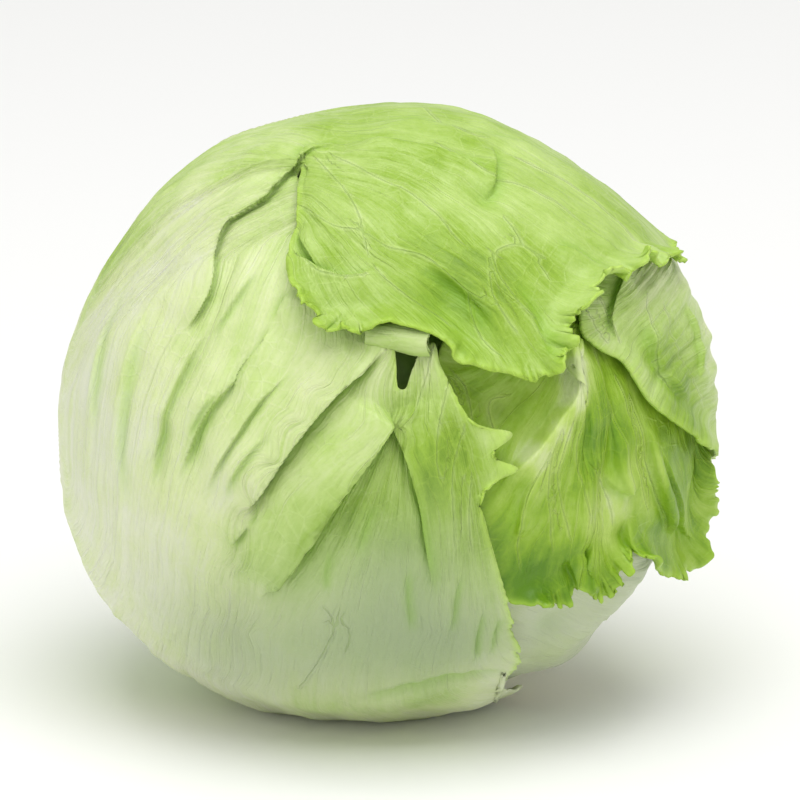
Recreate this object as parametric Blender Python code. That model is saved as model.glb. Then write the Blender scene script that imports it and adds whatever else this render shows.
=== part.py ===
"""A trimmed iceberg lettuce head, lying as it settles on a table, with its cut stem low on the right.

The head is a ball of wrapped leaves. Every surface is a height above the head's centre, so a place on the
head is a direction from that centre. Lengths below are millimetres until a mesh is written.
"""

import math

import bmesh
import bpy
import numpy as np

MM = 0.001

# Head
VIEW_TILT = math.radians(16)  # the front is seen from this far above the table
CENTRE_HEIGHT = 71.0  # of the head's centre above the table
HEAD_DEPTH = 77.0  # radius towards the front and the back
HEAD_GIRTH = (80.0, 79.0, 75.4, 75.4, 78.8, 79.2, 81.4, 84.2, 81.0, 77.0, 76.5, 79.4)  # every 30 degrees round
STEM_CLOCK = 302.0  # where the stem points, counter-clockwise from the right as seen from the front
STEM_TURN = 108.0  # and how far it is turned away from the front

# Layers, as heights from the outermost surface
BLADE = 1.0  # thickness of a wrapper leaf
OVER = 0.0  # crown of the outer leaf
WRAP = -2.2  # rest of the outer leaf, and the shoulder leaf
UNDER = -4.4  # right leaf and back leaf
DEEP = -6.6  # base leaf
HEART = -8.6  # packed inner leaves
UNEVEN = 0.5  # slow rise and fall of every layer
INNER_EDGES = (20.0, 75.0, 140.0, 205.0, 275.0)  # clock angles where edges of the inner leaves show in relief

# Stem
STEM_CUT = 69.0  # cut face from the head's centre
STEM_ROOT = 34.0  # inner end, in the heart
STEM_CUT_RADIUS = 16.0
STEM_ROOT_RADIUS = 11.0
STEM_SIDES = 28
STEM_GAP = 0.4
LEAF_FOOT = 14.6  # leaves start this many degrees round the stem's axis
PIT_FLOOR = 19.8  # the heart's pit round the stem, in the same degrees
PIT_RIM = 27.0

# Meshes
COLUMNS = 30  # from the rib to a margin
MARGIN_BAND = 7.0  # width of the strip along a margin that its waves and teeth ride on
NARROW_BAND = 1.5  # and its width where a margin turns back on itself
MARGIN_COLUMNS = 0.34  # share of the columns in that strip
WAVE_REACH = 5.0  # how far from a margin its waves die out
LONG_WAVE = 11.0  # lengths of the two waves along a margin
SHORT_WAVE = 6.7
MARGIN_STEP = 0.8  # between the steps of a margin's line
MARGIN_SMOOTH = 16.0  # length over which the line inside a margin ignores its teeth
EASE_ROUNDS = 40  # times the places inside a leaf are drawn to the middle of their neighbours
SEAM = 0.02  # places nearer than this are one
HEART_SIDES = 40
HEART_RINGS = 24

RIGHT = np.array((1.0, 0.0, 0.0))
UP = np.array((0.0, math.sin(VIEW_TILT), math.cos(VIEW_TILT)))
TOWARD = np.array((0.0, -math.cos(VIEW_TILT), math.sin(VIEW_TILT)))
CENTRE = np.array((0.0, 0.0, CENTRE_HEIGHT))


def unit(v):
    return v / np.maximum(np.linalg.norm(v, axis=-1, keepdims=True), 1e-9)


def smooth_step(low, high, x):
    t = np.clip((x - low) / (high - low), 0, 1)
    return t * t * (3 - 2 * t)


def girth(clock):
    """Radius of the head's outline, on a smooth closed curve through HEAD_GIRTH."""
    radii = np.array(HEAD_GIRTH)
    t = (clock / (2 * math.pi) * len(radii)) % len(radii)
    i = np.floor(t).astype(int)
    f = t - i
    a, b, c, d = (radii[(i + k) % len(radii)] for k in (-1, 0, 1, 2))
    return 0.5 * (2 * b + (c - a) * f + (2 * a - 5 * b + 4 * c - d) * f**2 + (3 * b - a - 3 * c + d) * f**3)


def head(d):
    """Height of the head's outermost surface in the directions d, as a whole run of rows."""
    x, y = d @ RIGHT, d @ UP
    return HEAD_DEPTH + (girth(np.arctan2(y, x)) - HEAD_DEPTH) * (x * x + y * y)


def table(d, layer):
    """Height at which a layer meets its flat resting spot, or a large one where it never does."""
    down = np.maximum(-d[:, 2], 1e-3)
    return (CENTRE_HEIGHT + layer) / down


def front(x, y):
    """Direction of a place seen x to the right of and y above the head's centre, from the front."""
    flat = x * RIGHT + y * UP
    d = unit(flat + HEAD_DEPTH / 2 * TOWARD)
    for _ in range(12):
        reach = min(float(head(d[None])[0]), float(table(d[None], 0.0)[0]))
        d = unit(flat + math.sqrt(max(reach**2 - x * x - y * y, 0.01)) * TOWARD)
    return d


def turned(clock, turn):
    """Direction at a clock angle, turned away from the front."""
    c, t = math.radians(clock), math.radians(turn)
    return math.sin(t) * (math.cos(c) * RIGHT + math.sin(c) * UP) + math.cos(t) * TOWARD


STEM = turned(STEM_CLOCK, STEM_TURN)
STEM_FRONT = unit(TOWARD - (TOWARD @ STEM) * STEM)
STEM_LEFT = np.cross(STEM, STEM_FRONT)


def by_stem(around, away=LEAF_FOOT):
    """Direction near the stem: around it from the front by way of the left, and away from its axis."""
    a, w = math.radians(around), math.radians(away)
    return math.cos(w) * STEM + math.sin(w) * (math.cos(a) * STEM_FRONT + math.sin(a) * STEM_LEFT)


def curve(points, steps=20):
    """Smooth open curve through rows of numbers."""
    p = np.asarray(points, float)
    p = np.vstack([p[:1], p, p[-1:]])
    rows = []
    for a, b, c, d in zip(p, p[1:], p[2:], p[3:]):
        f = np.linspace(0, 1, steps, endpoint=False)[:, None]
        rows.append(
            0.5 * (2 * b + (c - a) * f + (2 * a - 5 * b + 4 * c - d) * f**2 + (3 * b - a - 3 * c + d) * f**3)
        )
    rows.append(p[-1:])
    return np.vstack(rows)


def lengths(line):
    return np.concatenate([[0.0], np.cumsum(np.linalg.norm(np.diff(line, axis=0), axis=1))])


def read_at(at, where, table_rows):
    return np.stack([np.interp(at, where, table_rows[:, k]) for k in range(table_rows.shape[1])], axis=1)


def beside(d, path, share=24):
    """Distance to the left of a path of directions, in mm, and how far along it, from 0 to 1."""
    line = curve(path)
    at = lengths(line)
    line = unit(read_at(np.linspace(0, at[-1], share), at, line)) * HEAD_DEPTH
    p = d * HEAD_DEPTH
    best = np.full(len(p), 1e9)
    side = np.ones(len(p))
    along = np.zeros(len(p))
    for i, (a, b) in enumerate(zip(line, line[1:])):
        step = b - a
        t = np.clip((p - a) @ step / (step @ step), 0, 1)
        gap = p - a - t[:, None] * step
        far = np.linalg.norm(gap, axis=1)
        closer = far < best
        best = np.where(closer, far, best)
        side = np.where(closer, np.sign(gap @ np.cross(a, step)), side)
        along = np.where(closer, (i + t) / (share - 1), along)
    return best * side, along


def fade(along, start, end):
    return smooth_step(0, start, along) * smooth_step(0, end, 1 - along)


def pleat(d, path, height, reach, wall=3.0, groove=1.2, ends=(0.25, 0.25)):
    """A fold: raised to the left of its path, falling away over reach, with a steep wall on its right."""
    left, along = beside(d, path)
    high = height * (1 - smooth_step(0, reach, left))
    low = -groove * np.exp(-((np.maximum(-left - wall, 0) / (2.2 * wall)) ** 2))
    return (low + (high - low) * smooth_step(-wall, 0, left)) * fade(along, *ends)


def ridge(d, path, height, width, ends=(0.3, 0.3)):
    """A rounded rib or, with a negative height, a trough."""
    left, along = beside(d, path)
    return height * np.exp(-((left / width) ** 2)) * fade(along, *ends)


def dent(d, at, depth, size):
    return -depth * np.exp(-((np.linalg.norm(d - at, axis=1) * HEAD_DEPTH / size) ** 2))


def lumps(d, height):
    """The slow unevenness of a head that packed itself."""
    x, y, z = (d * 5.2).T
    return height * (np.sin(x + 1.3 * np.sin(y)) + np.sin(1.1 * y - z + 0.6) + np.sin(1.3 * z + x - 1.1)) / 3


def hollow(d):
    """The hollow in the front right of the head, between the strip of the outer leaf and the right leaf's fold."""
    return dent(d, front(23.0, 4.0), 5.0, 12.0) + dent(d, front(29.0, -6.0), 4.0, 10.0)


def edge(place, start, lift=0.0, frill=0.0, band=MARGIN_BAND, tooth=0.0):
    """A point of a leaf's margin: the share of the rib where its fibres start, its lift, waves, band, tooth."""
    return (*place, start, lift, frill, band, tooth)


def margin_lines(points, other_points, rib_middle):
    """Both margins of a leaf from foot to tip, evenly stepped, and the line a band's width inside each."""
    sides = []
    for row in (points, other_points):
        line = curve(row)
        at = lengths(unit(line[:, :3]) * HEAD_DEPTH)
        even = np.linspace(0, at[-1], max(int(at[-1] / MARGIN_STEP), 60))
        line = read_at(even, at, line)
        line[:, :3] = unit(line[:, :3])
        line[:, 3] = np.maximum.accumulate(line[:, 3])
        sides.append((even, line))
    whole = np.vstack([sides[0][1], sides[1][1][-2::-1]])
    band = NARROW_BAND + (whole[:, 6:7] - NARROW_BAND) * smooth_step(0, 0.1, whole[:, 3:4])
    smoothed = running_mean(whole[:, :3], MARGIN_SMOOTH)
    evened = unit(whole[:, :3] + (smoothed - whole[:, :3]) * smooth_step(NARROW_BAND, 4.0, band))
    inward = unit(running_mean(unit(np.cross(evened, np.gradient(evened, axis=0))), MARGIN_BAND))
    turn = np.sign(np.sum(inward * (rib_middle - evened)))
    inner = unit(evened * HEAD_DEPTH + turn * inward * band)
    whole[:, :3] = unit(whole[:, :3] * HEAD_DEPTH - turn * inward * whole[:, 7:8])
    count = len(sides[0][1])
    sides[0][1][:, :3] = whole[:count, :3]
    sides[1][1][:, :3] = whole[: count - 2 : -1, :3]
    return (*sides[0], inner[:count]), (*sides[1], inner[: count - 2 : -1])


def running_mean(rows, span):
    """Rows averaged over a span of a margin's line, in mm."""
    count = int(span / MARGIN_STEP) | 1
    padded = np.pad(rows, ((count // 2, count // 2), (0, 0)), "edge")
    return np.stack([np.convolve(padded[:, k], np.ones(count) / count, "valid") for k in range(3)], axis=1)


def across(rib, waist, inner, margin, f):
    """Direction at share f of the way from the rib, past the waist and the inner line, to the margin."""
    a = np.linalg.norm(waist - rib, axis=1, keepdims=True) + 1e-6
    b = np.linalg.norm(inner - waist, axis=1, keepdims=True) + 1e-6
    split = 1 - MARGIN_COLUMNS
    g = np.clip(f / split, 0, 1)[:, None]
    turn_at = a / (a + b)
    slope = ((waist - rib) / a * b + (inner - waist) / b * a) / (a + b)
    h = np.clip(g / turn_at, 0, 1)
    k = np.clip((g - turn_at) / (1 - turn_at), 0, 1)

    def hermite(p, m, q, n, t):
        return (
            (2 * t**3 - 3 * t**2 + 1) * p
            + (t**3 - 2 * t**2 + t) * m
            + (3 * t**2 - 2 * t**3) * q
            + (t**3 - t**2) * n
        )

    first = hermite(rib, waist - rib, waist, slope * np.minimum(a, 2 * b), h)
    second = hermite(waist, slope * b, inner, inner - waist, k)
    body = np.where(g < turn_at, first, second)
    last = np.clip((f - split) / MARGIN_COLUMNS, 0, 1)[:, None]
    return unit(np.where(last > 0, inner + (margin - inner) * last, body))


def evened_out(d, flat, rows, columns, share):
    """The directions of a grid's places, eased inside the margins so that no cell is turned over."""
    order = np.lexsort((flat[:, 0], flat[:, 1]))
    net = d[order].reshape(columns + 1, rows + 1, 3)
    share = share[order].reshape(columns + 1, rows + 1, 1)[1:-1, 1:-1]
    for _ in range(EASE_ROUNDS):
        between = unit(net[1:-1, 2:] + net[1:-1, :-2] + net[2:, 1:-1] + net[:-2, 1:-1])
        net[1:-1, 1:-1] = unit(net[1:-1, 1:-1] + (between - net[1:-1, 1:-1]) * share)
    eased = np.empty_like(d)
    eased[order] = net.reshape(-1, 3)
    return eased


def leaf_sheet(name, leaf, rows, columns=COLUMNS):
    """The open surface of a leaf: a grid whose rows cross it along its fibres, folded round the head."""
    rib = curve(leaf["rib"])
    rib_at = lengths(unit(rib))
    rib_at = rib_at / rib_at[-1]
    (even, right, right_inner), (left_even, left, left_inner) = margin_lines(
        leaf["margin"], leaf["other_margin"], unit(np.mean(rib, axis=0))
    )

    bm = bmesh.new()
    bmesh.ops.create_grid(bm, x_segments=rows, y_segments=2 * columns, size=0.5)
    flat = np.array([v.co[:2] for v in bm.verts])
    along = (flat[:, 0] + 0.5) * even[-1]
    f = np.abs(flat[:, 1]) * 2
    on_right = flat[:, 1] >= 0

    edge_right = read_at(along, even, right)
    start = edge_right[:, 3]
    left_start = left[:, 3] + np.linspace(0, 1e-6, len(left))
    edge_left = read_at(start, left_start, left)
    left_along = np.interp(start, left_start, left_even)
    here = np.where(on_right[:, None], edge_right, edge_left)
    inner = np.where(
        on_right[:, None], read_at(along, even, right_inner), read_at(start, left_start, left_inner)
    )
    middle = unit(read_at(start, rib_at, rib))
    inner = unit(inner)
    toward_edge = np.zeros(len(start))
    waist = unit(middle + inner)
    if "waist" in leaf:
        gather = np.array(leaf["waist"])
        gathered = unit(read_at(start, gather[:, 3], gather[:, :3]))
        toward_edge = smooth_step(gather[0, 3] - 0.22, gather[0, 3] - 0.04, start) * on_right
        waist = unit(middle + inner * (1 + 8 * toward_edge[:, None]))
        share = smooth_step(gather[0, 3] - 0.05, gather[0, 3], start) * on_right
        waist = unit(waist + (gathered - waist) * share[:, None])
    d = across(middle, waist, inner, unit(here[:, :3]), f)
    easy = (1 - toward_edge) * smooth_step(NARROW_BAND, 3.0, here[:, 6]) * (1 - smooth_step(0.92, 1.0, start))
    d = evened_out(d, flat, rows, 2 * columns, easy)

    to_edge = np.clip((1 - f) / MARGIN_COLUMNS, 0, None) * MARGIN_BAND
    travel = np.where(on_right, along, left_along)
    places = {"start": start, "across": f, "on_right": on_right, "to_edge": to_edge, "travel": travel}
    height = head(d) + lumps(d, UNEVEN) + leaf["shape"](d, places)
    near = np.exp(-((to_edge / WAVE_REACH) ** 2))
    wave = 0.6 * np.sin(travel * 2 * math.pi / LONG_WAVE) + 0.4 * np.sin(travel * 2 * math.pi / SHORT_WAVE + 1.0)
    height = height + near * (here[:, 4] + here[:, 5] * (wave + 0.6))
    height = np.minimum(height, table(d, leaf["layer"]))
    place = (CENTRE + d * height[:, None]) * MM
    for vert, co in zip(bm.verts, place):
        vert.co = co
    bmesh.ops.remove_doubles(bm, verts=bm.verts, dist=SEAM * MM)
    bmesh.ops.triangulate(bm, faces=bm.faces)
    mesh = bpy.data.meshes.new(name)
    bm.to_mesh(mesh)
    bm.free()
    return mesh


def thin_out(mesh, triangles):
    """The same surface with fewer triangles, kept where it bends."""
    obj = bpy.data.objects.new(mesh.name, mesh)
    bpy.context.scene.collection.objects.link(obj)
    cut = obj.modifiers.new("Fewer", "DECIMATE")
    cut.ratio = min(1.0, triangles / len(mesh.polygons))
    bpy.context.view_layer.update()
    result = bpy.data.meshes.new_from_object(obj.evaluated_get(bpy.context.evaluated_depsgraph_get()))
    bpy.data.objects.remove(obj)
    return result


def thicken(mesh, thickness):
    """A closed blade: the sheet is extruded straight towards the head's centre."""
    bm = bmesh.new()
    bm.from_mesh(mesh)
    centre = CENTRE * MM
    grown = bmesh.ops.extrude_face_region(bm, geom=bm.faces[:])["geom"]
    for vert in (g for g in grown if isinstance(g, bmesh.types.BMVert)):
        arm = np.array(vert.co) - centre
        vert.co = centre + arm * (1 - thickness * MM / np.linalg.norm(arm))
    bmesh.ops.recalc_face_normals(bm, faces=bm.faces)
    bm.to_mesh(mesh)
    bm.free()
    return mesh


def material(name, colour, roughness):
    mat = bpy.data.materials.new(name)
    mat.use_nodes = True
    shader = mat.node_tree.nodes["Principled BSDF"]
    shader.inputs["Base Color"].default_value = (*colour, 1.0)
    shader.inputs["Roughness"].default_value = roughness
    shader.inputs["Metallic"].default_value = 0.0
    return mat


def place_object(name, mesh, mat, collection):
    mesh.name = name
    mesh.materials.append(mat)
    mesh.shade_smooth()
    obj = bpy.data.objects.new(name, mesh)
    collection.objects.link(obj)
    return obj


# Outer leaf: its rib runs from the stem along the bottom and up the left. Its near half covers the front and
# gathers into a notch beside the hollow. Its far part, the crown, folds over the top and down on the near half.
OUTER_RIB = [
    by_stem(50),
    by_stem(30, 30),
    front(12.5, -67.1),
    front(-16.4, -71.5),
    front(-31.6, -69.0),
    front(-45.4, -59.8),
    front(-57.4, -44.9),
    front(-70.2, -17.6),
    turned(181, 88),
    turned(168, 92),
    turned(150, 94),
    turned(130, 97),
    turned(112, 102),
    turned(100, 112),
    turned(95, 124),
]
OUTER_MARGIN = [
    edge(by_stem(-2), 0.0),
    edge(front(31.9, -64.5), 0.04, 0.2, 0.0, 3.0),
    edge(front(30.9, -57.4), 0.06, 0.8, 0.8, 4.0),
    edge(front(29.0, -46.6), 0.085, 0.5, 0.4, 4.0),
    edge(front(25.8, -34.5), 0.105, 0.3, 0.0, 4.0),
    edge(front(23.4, -26.1), 0.12, 0.5, 0.0, 4.0),
    edge(front(21.9, -18.6), 0.13, 1.0, 0.3, 5.0),
    edge(front(21.9, -14.8), 0.139, 1.5, 0.0, 5.0, 6.8),
    edge(front(21.8, -10.6), 0.147, 1.2, 0.0, 5.0, 2.6),
    edge(front(21.6, -7.2), 0.155, 1.5, 0.0, 5.0, 6.8),
    edge(front(21.0, -3.6), 0.163, 1.0, 0.3, 5.0),
    edge(front(17.9, 0.5), 0.170, 1.0, 0.4, 4.0),
    edge(front(15.4, 5.3), 0.178, 1.0, 0.4, 3.0),
    edge(front(12.5, 11.3), 0.186, 1.0, 0.0, 2.0),
    edge(front(11.1, 16.7), 0.194, 0.5, 0.0, NARROW_BAND),
    edge(front(7.7, 14.0), 0.202, 0.0, 0.0, NARROW_BAND),
    edge(front(5.6, 9.2), 0.21, -0.3, 0.0, NARROW_BAND),
    edge(front(4.4, 5.8), 0.22, -0.3, 0.0, NARROW_BAND),
    edge(front(2.4, 6.2), 0.33, 0.3, 0.0, 2.0),
    edge(front(2.0, 11.1), 0.40, 1.0, 0.0, 4.0),
    edge(front(1.4, 16.0), 0.44, 0.5, 0.0, 5.0),
    edge(front(-2.0, 21.5), 0.47),
    edge(front(-5.6, 26.0), 0.49),
    edge(front(-10.4, 33.0), 0.52),
    edge(front(-14.5, 41.5), 0.55, 0.0, 0.0, 5.0),
    edge(front(-18.0, 48.0), 0.585, 0.0, 0.0, 3.0),
    edge(front(-21.8, 53.0), 0.60, 0.0, 0.0, 2.0),
    edge(front(-22.6, 56.0), 0.612, 0.0, 0.0, NARROW_BAND),
    edge(front(-22.2, 58.2), 0.62, 0.0, 0.0, NARROW_BAND),
    edge(front(-20.6, 58.2), 0.67, 0.0, 0.0, NARROW_BAND),
    edge(front(-20.2, 55.0), 0.676, 0.0, 0.0, NARROW_BAND),
    edge(front(-20.5, 50.5), 0.682, 0.4, 0.1, NARROW_BAND),
    edge(front(-20.8, 44.4), 0.692, 0.8, 0.2, 2.0),
    edge(front(-22.9, 38.6), 0.702, 0.8, 0.2, 3.0),
    edge(front(-23.4, 33.1), 0.712, 0.8, 0.2, 5.0),
    edge(front(-21.2, 27.0), 0.72, 1.0, 0.4),
    edge(front(-17.4, 21.0), 0.73, 2.2, 1.0),
    edge(front(-12.8, 15.9), 0.74, 2.6, 1.2),
    edge(front(-6.3, 16.2), 0.75, 2.8, 1.2),
    edge(front(-3.9, 19.5), 0.76, 3.0, 0.6),
    edge(front(4.1, 19.2), 0.77, 3.6, 0.2),
    edge(front(12.5, 16.2), 0.78, 2.6, 0.3),
    edge(front(15.4, 12.1), 0.79, 2.0, 0.6),
    edge(front(22.2, 9.7), 0.80, 2.0, 0.8),
    edge(front(31.9, 8.2), 0.81, 2.0, 0.8),
    edge(front(37.9, 7.0), 0.82, 2.2, 0.8),
    edge(front(41.5, 10.1), 0.83, 2.6, 1.2),
    edge(front(43.4, 16.2), 0.84, 2.8, 1.4),
    edge(front(45.1, 21.7), 0.85, 2.8, 1.4),
    edge(front(51.2, 29.4), 0.86, 2.6, 1.4),
    edge(front(57.2, 31.9), 0.87, 2.6, 1.4),
    edge(front(64.4, 34.8), 0.88, 2.6, 1.2),
    edge(front(70.5, 35.0), 0.89, 2.8, 1.0),
    edge(turned(30, 92), 0.905, 2.6, 1.0),
    edge(turned(37, 103), 0.92, 1.4, 1.0),
    edge(turned(48, 116), 0.94, 1.2, 1.0),
    edge(turned(63, 128), 0.96, 1.2, 1.0),
    edge(turned(80, 137), 0.98, 1.2, 1.0),
    edge(turned(100, 141), 1.0, 1.2),
]
OUTER_OTHER_MARGIN = [
    edge(by_stem(148), 0.0),
    edge(turned(275, 122), 0.10, 0.8, 0.6),
    edge(turned(255, 134), 0.22, 1.2, 1.0),
    edge(turned(232, 142), 0.35, 1.4, 1.2),
    edge(turned(205, 147), 0.48, 1.4, 1.2),
    edge(turned(180, 150), 0.60, 1.4, 1.2),
    edge(turned(155, 150), 0.72, 1.4, 1.2),
    edge(turned(130, 148), 0.85, 1.2, 1.2),
    edge(turned(112, 144), 0.94, 1.2, 1.0),
    edge(turned(100, 141), 1.0, 1.2),
]
OUTER_WAIST = [
    edge(front(-22.5, 60.0), 0.66),
    edge(front(-18.6, 60.6), 0.68),
    edge(front(-14.8, 61.0), 0.70),
    edge(front(-12.2, 62.6), 0.74),
    edge(front(-10.2, 64.6), 0.78),
    edge(front(-7.0, 67.4), 0.82),
    edge(front(-3.0, 71.0), 0.87),
    edge(turned(88, 92), 0.91),
    edge(turned(90, 105), 0.95),
    edge(turned(93, 120), 1.0),
]

UPPER_FOLD = [
    front(-49.0, 18.6),
    front(-43.7, 29.4),
    front(-42.2, 39.1),
    front(-38.5, 46.0),
    front(-30.4, 51.9),
    front(-23.7, 58.5),
    front(-10.4, 63.7),
]
SMALL_CREASE = [front(-39.3, 2.9), front(-30.4, 15.0), front(-27.5, 22.0), front(-23.7, 29.4)]
MIDDLE_FOLD = [front(-35.0, -25.6), front(-29.7, -16.4), front(-21.2, -4.3), front(-11.6, 6.5), front(-0.7, 15.0)]
LOWER_FOLD = [front(-31.6, -45.6), front(-21.2, -32.1), front(-14.0, -21.2), front(-4.3, -8.0), front(1.0, 0.0)]
STRIP_FOLD = [front(1.0, 0.5), front(5.3, -9.2), front(8.9, -21.2), front(10.1, -30.9), front(10.6, -45.4)]
LEFT_TROUGH = [front(-55.0, -19.0), front(-55.5, -8.0), front(-54.0, 0.0)]
SECOND_TROUGH = [front(-47.0, -18.0), front(-47.0, -6.0), front(-44.0, 4.0)]
OUTER_RIB_RIDGE = OUTER_RIB[1:9]
BOTTOM_GROOVE = [front(31.9, -62.7), front(12.5, -64.7), front(-9.2, -69.0)]
CROWN_LEDGE = [front(-21.2, 33.1), front(-11.6, 29.4), front(-1.9, 31.1)]
CROWN_RIDGE = [front(-14.0, 63.2), front(2.9, 62.0), front(19.8, 59.6), front(25.0, 56.0)]


def outer_shape(d, at):
    """Folds of the outer leaf, and the step from its near half up to its crown."""
    inside = 1 - at["across"]
    layer = WRAP + (OVER - WRAP) * smooth_step(0.625 - 0.2 * inside, 0.665 + 0.1 * inside, at["start"])
    crown = smooth_step(0.60, 0.64, at["start"]) * at["on_right"]
    near = (1 - smooth_step(0.56, 0.62, at["start"])) * at["on_right"]
    upper = pleat(d, UPPER_FOLD, 3.6, 22.0, wall=2.2, groove=1.6, ends=(0.3, 0.3))
    folds = pleat(d, MIDDLE_FOLD, 4.0, 20.0, ends=(0.35, 0.25))
    folds = folds + pleat(d, LOWER_FOLD, 4.2, 17.0, ends=(0.4, 0.08))
    folds = folds + pleat(d, STRIP_FOLD, 2.6, 14.0, ends=(0.1, 0.6))
    folds = folds + pleat(d, SMALL_CREASE, 1.4, 9.0, wall=1.8, groove=1.2, ends=(0.3, 0.3))
    folds = folds + ridge(d, LEFT_TROUGH, -1.2, 4.0) + ridge(d, SECOND_TROUGH, -1.4, 4.0)
    rib = ridge(d, OUTER_RIB_RIDGE, 1.6, 7.0, ends=(0.02, 0.5)) + ridge(d, BOTTOM_GROOVE, -1.2, 3.0)
    top = ridge(d, CROWN_LEDGE, 1.4, 4.0) + ridge(d, CROWN_RIDGE, 1.2, 3.5)
    top = top + dent(d, front(23.0, 51.5), 2.2, 4.5) + dent(d, front(12.5, 24.6), 1.2, 6.0)
    return layer + upper + folds * near + rib + top * crown


# Shoulder leaf: pale, on the right, with its free edge falling across the right leaf
SHOULDER_RIB = [
    by_stem(257),
    by_stem(238, 32),
    by_stem(243, 47),
    turned(8, 108),
    turned(20, 100),
    turned(29, 91),
    front(58.0, 40.0),
]
SHOULDER_MARGIN = [
    edge(by_stem(287), 0.0),
    edge(by_stem(266, 27), 0.13),
    edge(by_stem(266, 38), 0.24, 0.2, 0.2),
    edge(by_stem(277, 49), 0.34, 0.4, 0.2),
    edge(front(76.3, -8.4), 0.44, 2.0, 0.3),
    edge(front(66.8, -0.7), 0.55, 1.4),
    edge(front(60.8, 5.3), 0.64, 1.4),
    edge(front(56.0, 12.1), 0.72, 1.2),
    edge(front(51.2, 15.0), 0.78, 1.0),
    edge(front(47.0, 19.8), 0.84, 0.4),
    edge(front(47.0, 27.0), 0.90),
    edge(front(48.0, 36.0), 0.95),
    edge(front(52.0, 44.0), 1.0),
]
SHOULDER_OTHER_MARGIN = [
    edge(by_stem(224), 0.0),
    edge(by_stem(202, 38), 0.18, 0.6, 0.8),
    edge(by_stem(206, 56), 0.34, 1.0, 1.0),
    edge(by_stem(217, 73), 0.50, 1.0, 1.0),
    edge(by_stem(233, 90), 0.66, 0.6, 0.4),
    edge(turned(50, 106), 0.80),
    edge(turned(48, 88), 0.92),
    edge(front(52.0, 44.0), 1.0),
]
SHOULDER_EDGE = [front(47.0, 24.0), front(51.2, 15.0), front(60.8, 5.3), front(66.8, -0.7), front(77.0, -9.0)]
SHOULDER_FOLD = [front(55.5, 15.0), front(57.0, 24.6), front(58.4, 33.1)]
SHOULDER_TROUGH = [front(63.2, 22.2), front(66.8, 12.5), front(74.1, 3.4)]


def shoulder_shape(d, at):
    fold = pleat(d, SHOULDER_FOLD[::-1], 2.2, 12.0, wall=3.0, groove=0.5, ends=(0.4, 0.3))
    trough = ridge(d, SHOULDER_TROUGH, -1.2, 4.0)
    return WRAP + fold + trough + ridge(d, SHOULDER_RIB[:5], 1.4, 6.0, ends=(0.05, 0.5))


# Right leaf: comes over the right side and hangs down the front right in folds, with a frilled edge
RIGHT_RIB = [
    by_stem(254),
    by_stem(243, 30),
    by_stem(251, 45),
    turned(12, 103),
    front(62.0, 34.0),
    front(47.0, 27.0),
    front(42.5, 17.0),
    front(44.5, 9.0),
]
RIGHT_MARGIN = [
    edge(by_stem(236), 0.0),
    edge(by_stem(226, 34), 0.12),
    edge(by_stem(233, 50), 0.22),
    edge(turned(14, 124), 0.33),
    edge(turned(32, 113), 0.45),
    edge(turned(44, 98), 0.58),
    edge(front(46.0, 50.0), 0.66),
    edge(front(30.0, 42.0), 0.72),
    edge(front(19.8, 27.0), 0.77),
    edge(front(13.5, 17.0), 0.81),
    edge(front(12.0, 6.0), 0.84),
    edge(front(12.5, -6.8), 0.87),
    edge(front(16.2, -26.1), 0.90),
    edge(front(22.2, -41.0), 0.93),
    edge(front(27.0, -45.0), 0.94, 0.2, 0.4),
    edge(front(34.3, -48.3), 0.955, 2.0, 1.6),
    edge(front(42.7, -47.3), 0.97, 2.0, 1.6),
    edge(front(47.5, -44.0), 1.0, 2.0),
]
RIGHT_OTHER_MARGIN = [
    edge(by_stem(275), 0.0),
    edge(by_stem(262, 27), 0.10),
    edge(by_stem(263, 38), 0.20),
    edge(by_stem(270, 47), 0.36),
    edge(turned(353, 88), 0.62, 0.2, 0.2),
    edge(front(78.0, -14.0), 0.74, 3.0, 0.8),
    edge(front(78.0, -20.8), 0.80, 5.2, 1.2),
    edge(front(74.5, -31.6), 0.85, 5.0, 1.4),
    edge(front(70.0, -37.0), 0.88, 3.4, 1.4),
    edge(front(63.2, -36.2), 0.90, 2.2, 1.2),
    edge(front(59.8, -35.4), 0.92, 2.4, 1.4),
    edge(front(57.0, -41.5), 0.945, 2.2, 1.4),
    edge(front(52.4, -46.6), 0.97, 2.0, 1.4),
    edge(front(47.5, -44.0), 1.0, 2.0),
]
RIGHT_FOLD = [
    front(27.0, -18.8),
    front(36.7, -9.2),
    front(41.5, -1.9),
    front(45.1, 4.1),
    front(45.2, 11.3),
    front(42.7, 17.4),
]
RIGHT_SIDE_FOLDS = [
    [front(64.0, -2.0), front(68.0, -16.0), front(70.5, -31.0)],
    [front(56.0, 0.0), front(58.5, -14.0), front(58.0, -27.0)],
    [front(49.0, -8.0), front(50.0, -22.0), front(47.5, -38.0)],
]


def right_shape(d, at):
    fold = ridge(d, RIGHT_FOLD, 3.0, 4.6, ends=(0.35, 0.25))
    for path in RIGHT_SIDE_FOLDS:
        fold = fold + ridge(d, path, 1.7, 3.4)
    covered = smooth_step(-5.0, 0.0, beside(d, SHOULDER_EDGE)[0])
    return UNDER + hollow(d) + fold * (1 - covered) + ridge(d, SHOULDER_TROUGH, -0.7, 4.0) * covered


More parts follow.
